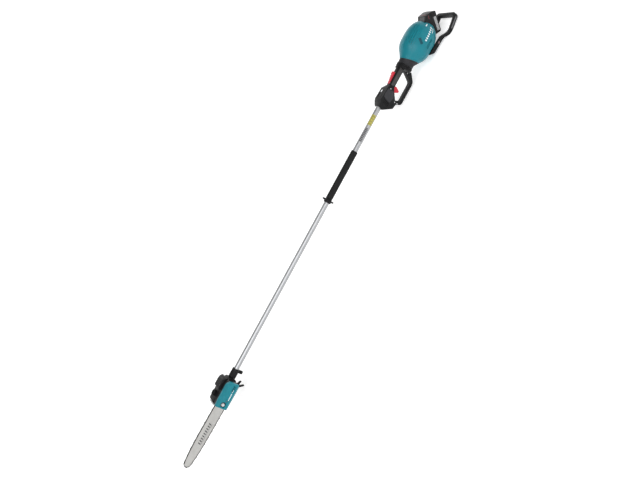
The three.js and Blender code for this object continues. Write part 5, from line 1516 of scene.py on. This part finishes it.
def guide_bar():
    blade = outline("bar_blade", bar_edge(-0.05, 33), "Y", BAR_Y - 2.2, BAR_Y + 2.2)
    window = rod("tool", "Y", BAR_Y - 0.95, BAR_Y + 0.95, 13.5, (-NOSE_X, 0), 48)
    slit = block("tool", (-BAR_REACH, -NOSE_X), (BAR_Y - 0.95, BAR_Y + 0.95), (-12, 12))
    rivet = rod("rivet", "Y", BAR_Y - 2.2, BAR_Y + 2.2, 3, (-NOSE_X, 0), 24)
    stud_slot = outline("tool", ((-67, -5.8, 5.5), (-49, -5.8, 5.5), (-49, 5.8, 5.5), (-67, 5.8, 5.5)), "Y", -50, -38)
    cut(blade, window, slit)
    weld(blade, rivet)
    holes = [rod("tool", "Y", -50, -38, 2.2, (-82, z), 20) for z in (-14, 14)]
    rivets = []
    for x, z in ((-NOSE_X + 16, 9), (-NOSE_X + 16, -9), (-NOSE_X + 22, 0)):
        ring = rod("ring", "Y", -50, BAR_Y - 2.0, 2.6, (x, z), 20)
        rivets.append(cut(ring, rod("tool", "Y", -52, -40, 1.9, (x, z), 20)))
    line = cut(
        outline("line", bar_edge(-4.6, 96), "Y", -50, BAR_Y - 2.05),
        outline("line", bar_edge(-5.3, 96.7), "Y", -52, -40),
    )
    cut(blade, stud_slot, *holes, gather("rivets", rivets), line)
    finish(tilted(blade), "bar", "guide_bar")
    dashes = [
        outline("dash", ((x, -7), (x + 6, -7), (x + 10, 7), (x + 4, 7)), "Y", BAR_Y - 2.3, BAR_Y - 2.1)
        for x in range(-296, -170, 14)
    ]
    dashes.append(outline("dash", (
        (-296, -11.5), (-176, -11.5), (-176, -10), (-296, -10),
    ), "Y", BAR_Y - 2.3, BAR_Y - 2.1))
    finish(tilted(gather("bar_mark", dashes)), "dark_paint", body="saw_head")


def nose_wheel():
    half = 0.7
    wheel = rod("nose_wheel", "Y", BAR_Y - half, BAR_Y + half, 12, (-NOSE_X, 0), 56)
    bites = []
    for i in range(7):
        angle = 2 * math.pi * (i + 0.5) / 7
        bites.append(rod("bite", "Y", -50, -38, 3.4, (-NOSE_X + 13 * math.cos(angle), 13 * math.sin(angle)), 20))
    cut(wheel, gather("bites", bites), rod("tool", "Y", -50, -38, 3.25, (-NOSE_X, 0), 24))
    finish(tilted(wheel), "steel", "nose_sprocket")


def chain_path(grow):
    """The chain's closed line round the bar and the drive sprocket."""
    r = SPROCKET_RADIUS + grow
    wheel = [(r * math.cos(a), r * math.sin(a)) for a in (-math.pi / 2 + math.pi * i / 16 for i in range(17))]
    return [*bar_edge(grow, BAR_TAPER, 28), *wheel]


def spaced(path, count):
    """Evenly spaced places along a closed path, each with its direction."""
    closed = [Vector((*p, 0)) for p in [*path, path[0]]]
    lengths = [(b - a).length for a, b in zip(closed, closed[1:])]
    step = sum(lengths) / count
    made = []
    index, used = 0, 0.0
    for i in range(count):
        target = i * step
        while used + lengths[index] < target:
            used += lengths[index]
            index += 1
        a, b = closed[index], closed[index + 1]
        made.append((a + (b - a) * ((target - used) / lengths[index]), (b - a).normalized()))
    return made


LINK_PITCH = 9.3


def side_link(name, cutter):
    """One pair of side plates, lying along X with the bar below it."""
    if cutter:
        side = ((-7, -2.2, 1), (-5, -2.6, 1), (0, -1.4, 1), (5, -2.6, 1), (7, -2.2, 1), (7, 0.6), (5.6, 1.0), (3.2, 2.6),
                (1.4, -0.2), (-1, -0.2), (-1.6, 2.9), (-6.8, 2.3), (-7, 0))
    else:
        side = ((-6.8, -1.4, 1.6), (-4.6, -2.6, 1.2), (0, -1.5, 2), (4.6, -2.6, 1.2), (6.8, -1.4, 1.6), (6.2, 0.6, 1.4),
                (0, 0.2, 3), (-6.2, 0.6, 1.4))
    plates = [
        flat_link(name, side, *y) for y in ((BAR_Y - 2.7, BAR_Y - 1.4), (BAR_Y + 1.4, BAR_Y + 2.7))
    ]
    pins = [rod("pin", "Y", BAR_Y - 2.8, BAR_Y + 2.8, 1.3, (x, -0.9), 8) for x in (-4.6, 4.6)]
    return gather(name, [*plates, *pins])


def flat_link(name, side, low, high):
    return outline(name, [point[:2] for point in side], "Y", low, high)


def chain():
    path = chain_path(0.3 + 3)
    total = sum(math.dist(a, b) for a, b in zip(path, [*path[1:], path[0]]))
    count = 4 * round(total / LINK_PITCH / 4)
    drive = outline("drive_link", (
        (-4.2, -2.8), (0, -2.9), (4.2, -2.8), (4.4, 0.8), (0, 1.4), (-4.4, 0.8),
    ), "Y", BAR_Y - 0.8, BAR_Y + 0.8)
    kinds = {0: side_link("cutter_left", True), 1: drive, 2: side_link("tie_strap", False), 3: drive}
    links = []
    for i, (place, way) in enumerate(spaced(path, count)):
        link = kinds[i % 4].copy()
        link.data = link.data.copy()
        bpy.context.scene.collection.objects.link(link)
        angle = math.atan2(way.y, way.x)
        home = Matrix.Translation(HOME * MM)
        inside = Matrix.Rotation(math.pi - angle, 4, "Y")
        link.matrix_world = home @ Matrix.Translation(Vector((place.x, 0, place.y)) * MM) @ inside @ home.inverted()
        links.append(link)
    bpy.context.view_layer.update()
    remove(*{kind.name: kind for kind in kinds.values()}.values())
    finish(tilted(gather("chain_links", links)), "chain", "saw_chain")


# ---------------------------------------------------------------- making it all

add_camera()
add_studio()
motor_shells()
recess_liners()
neck()
shell_mark()
handle_halves()
side_plates()
grip_pads()
top_strip()
control_panel()
trigger()
lock_lever()
handle_screws()
battery()
battery_trim()
guard_frame()
pole()
foam_grip()
hand_stop()
lock_collar()
lock_knob()
gear_case()
case_cover()
oil_tank()
oil_cap()
bar_cover()
cover_mark()
fasteners()
bumper()
hook()
guide_bar()
nose_wheel()
chain()
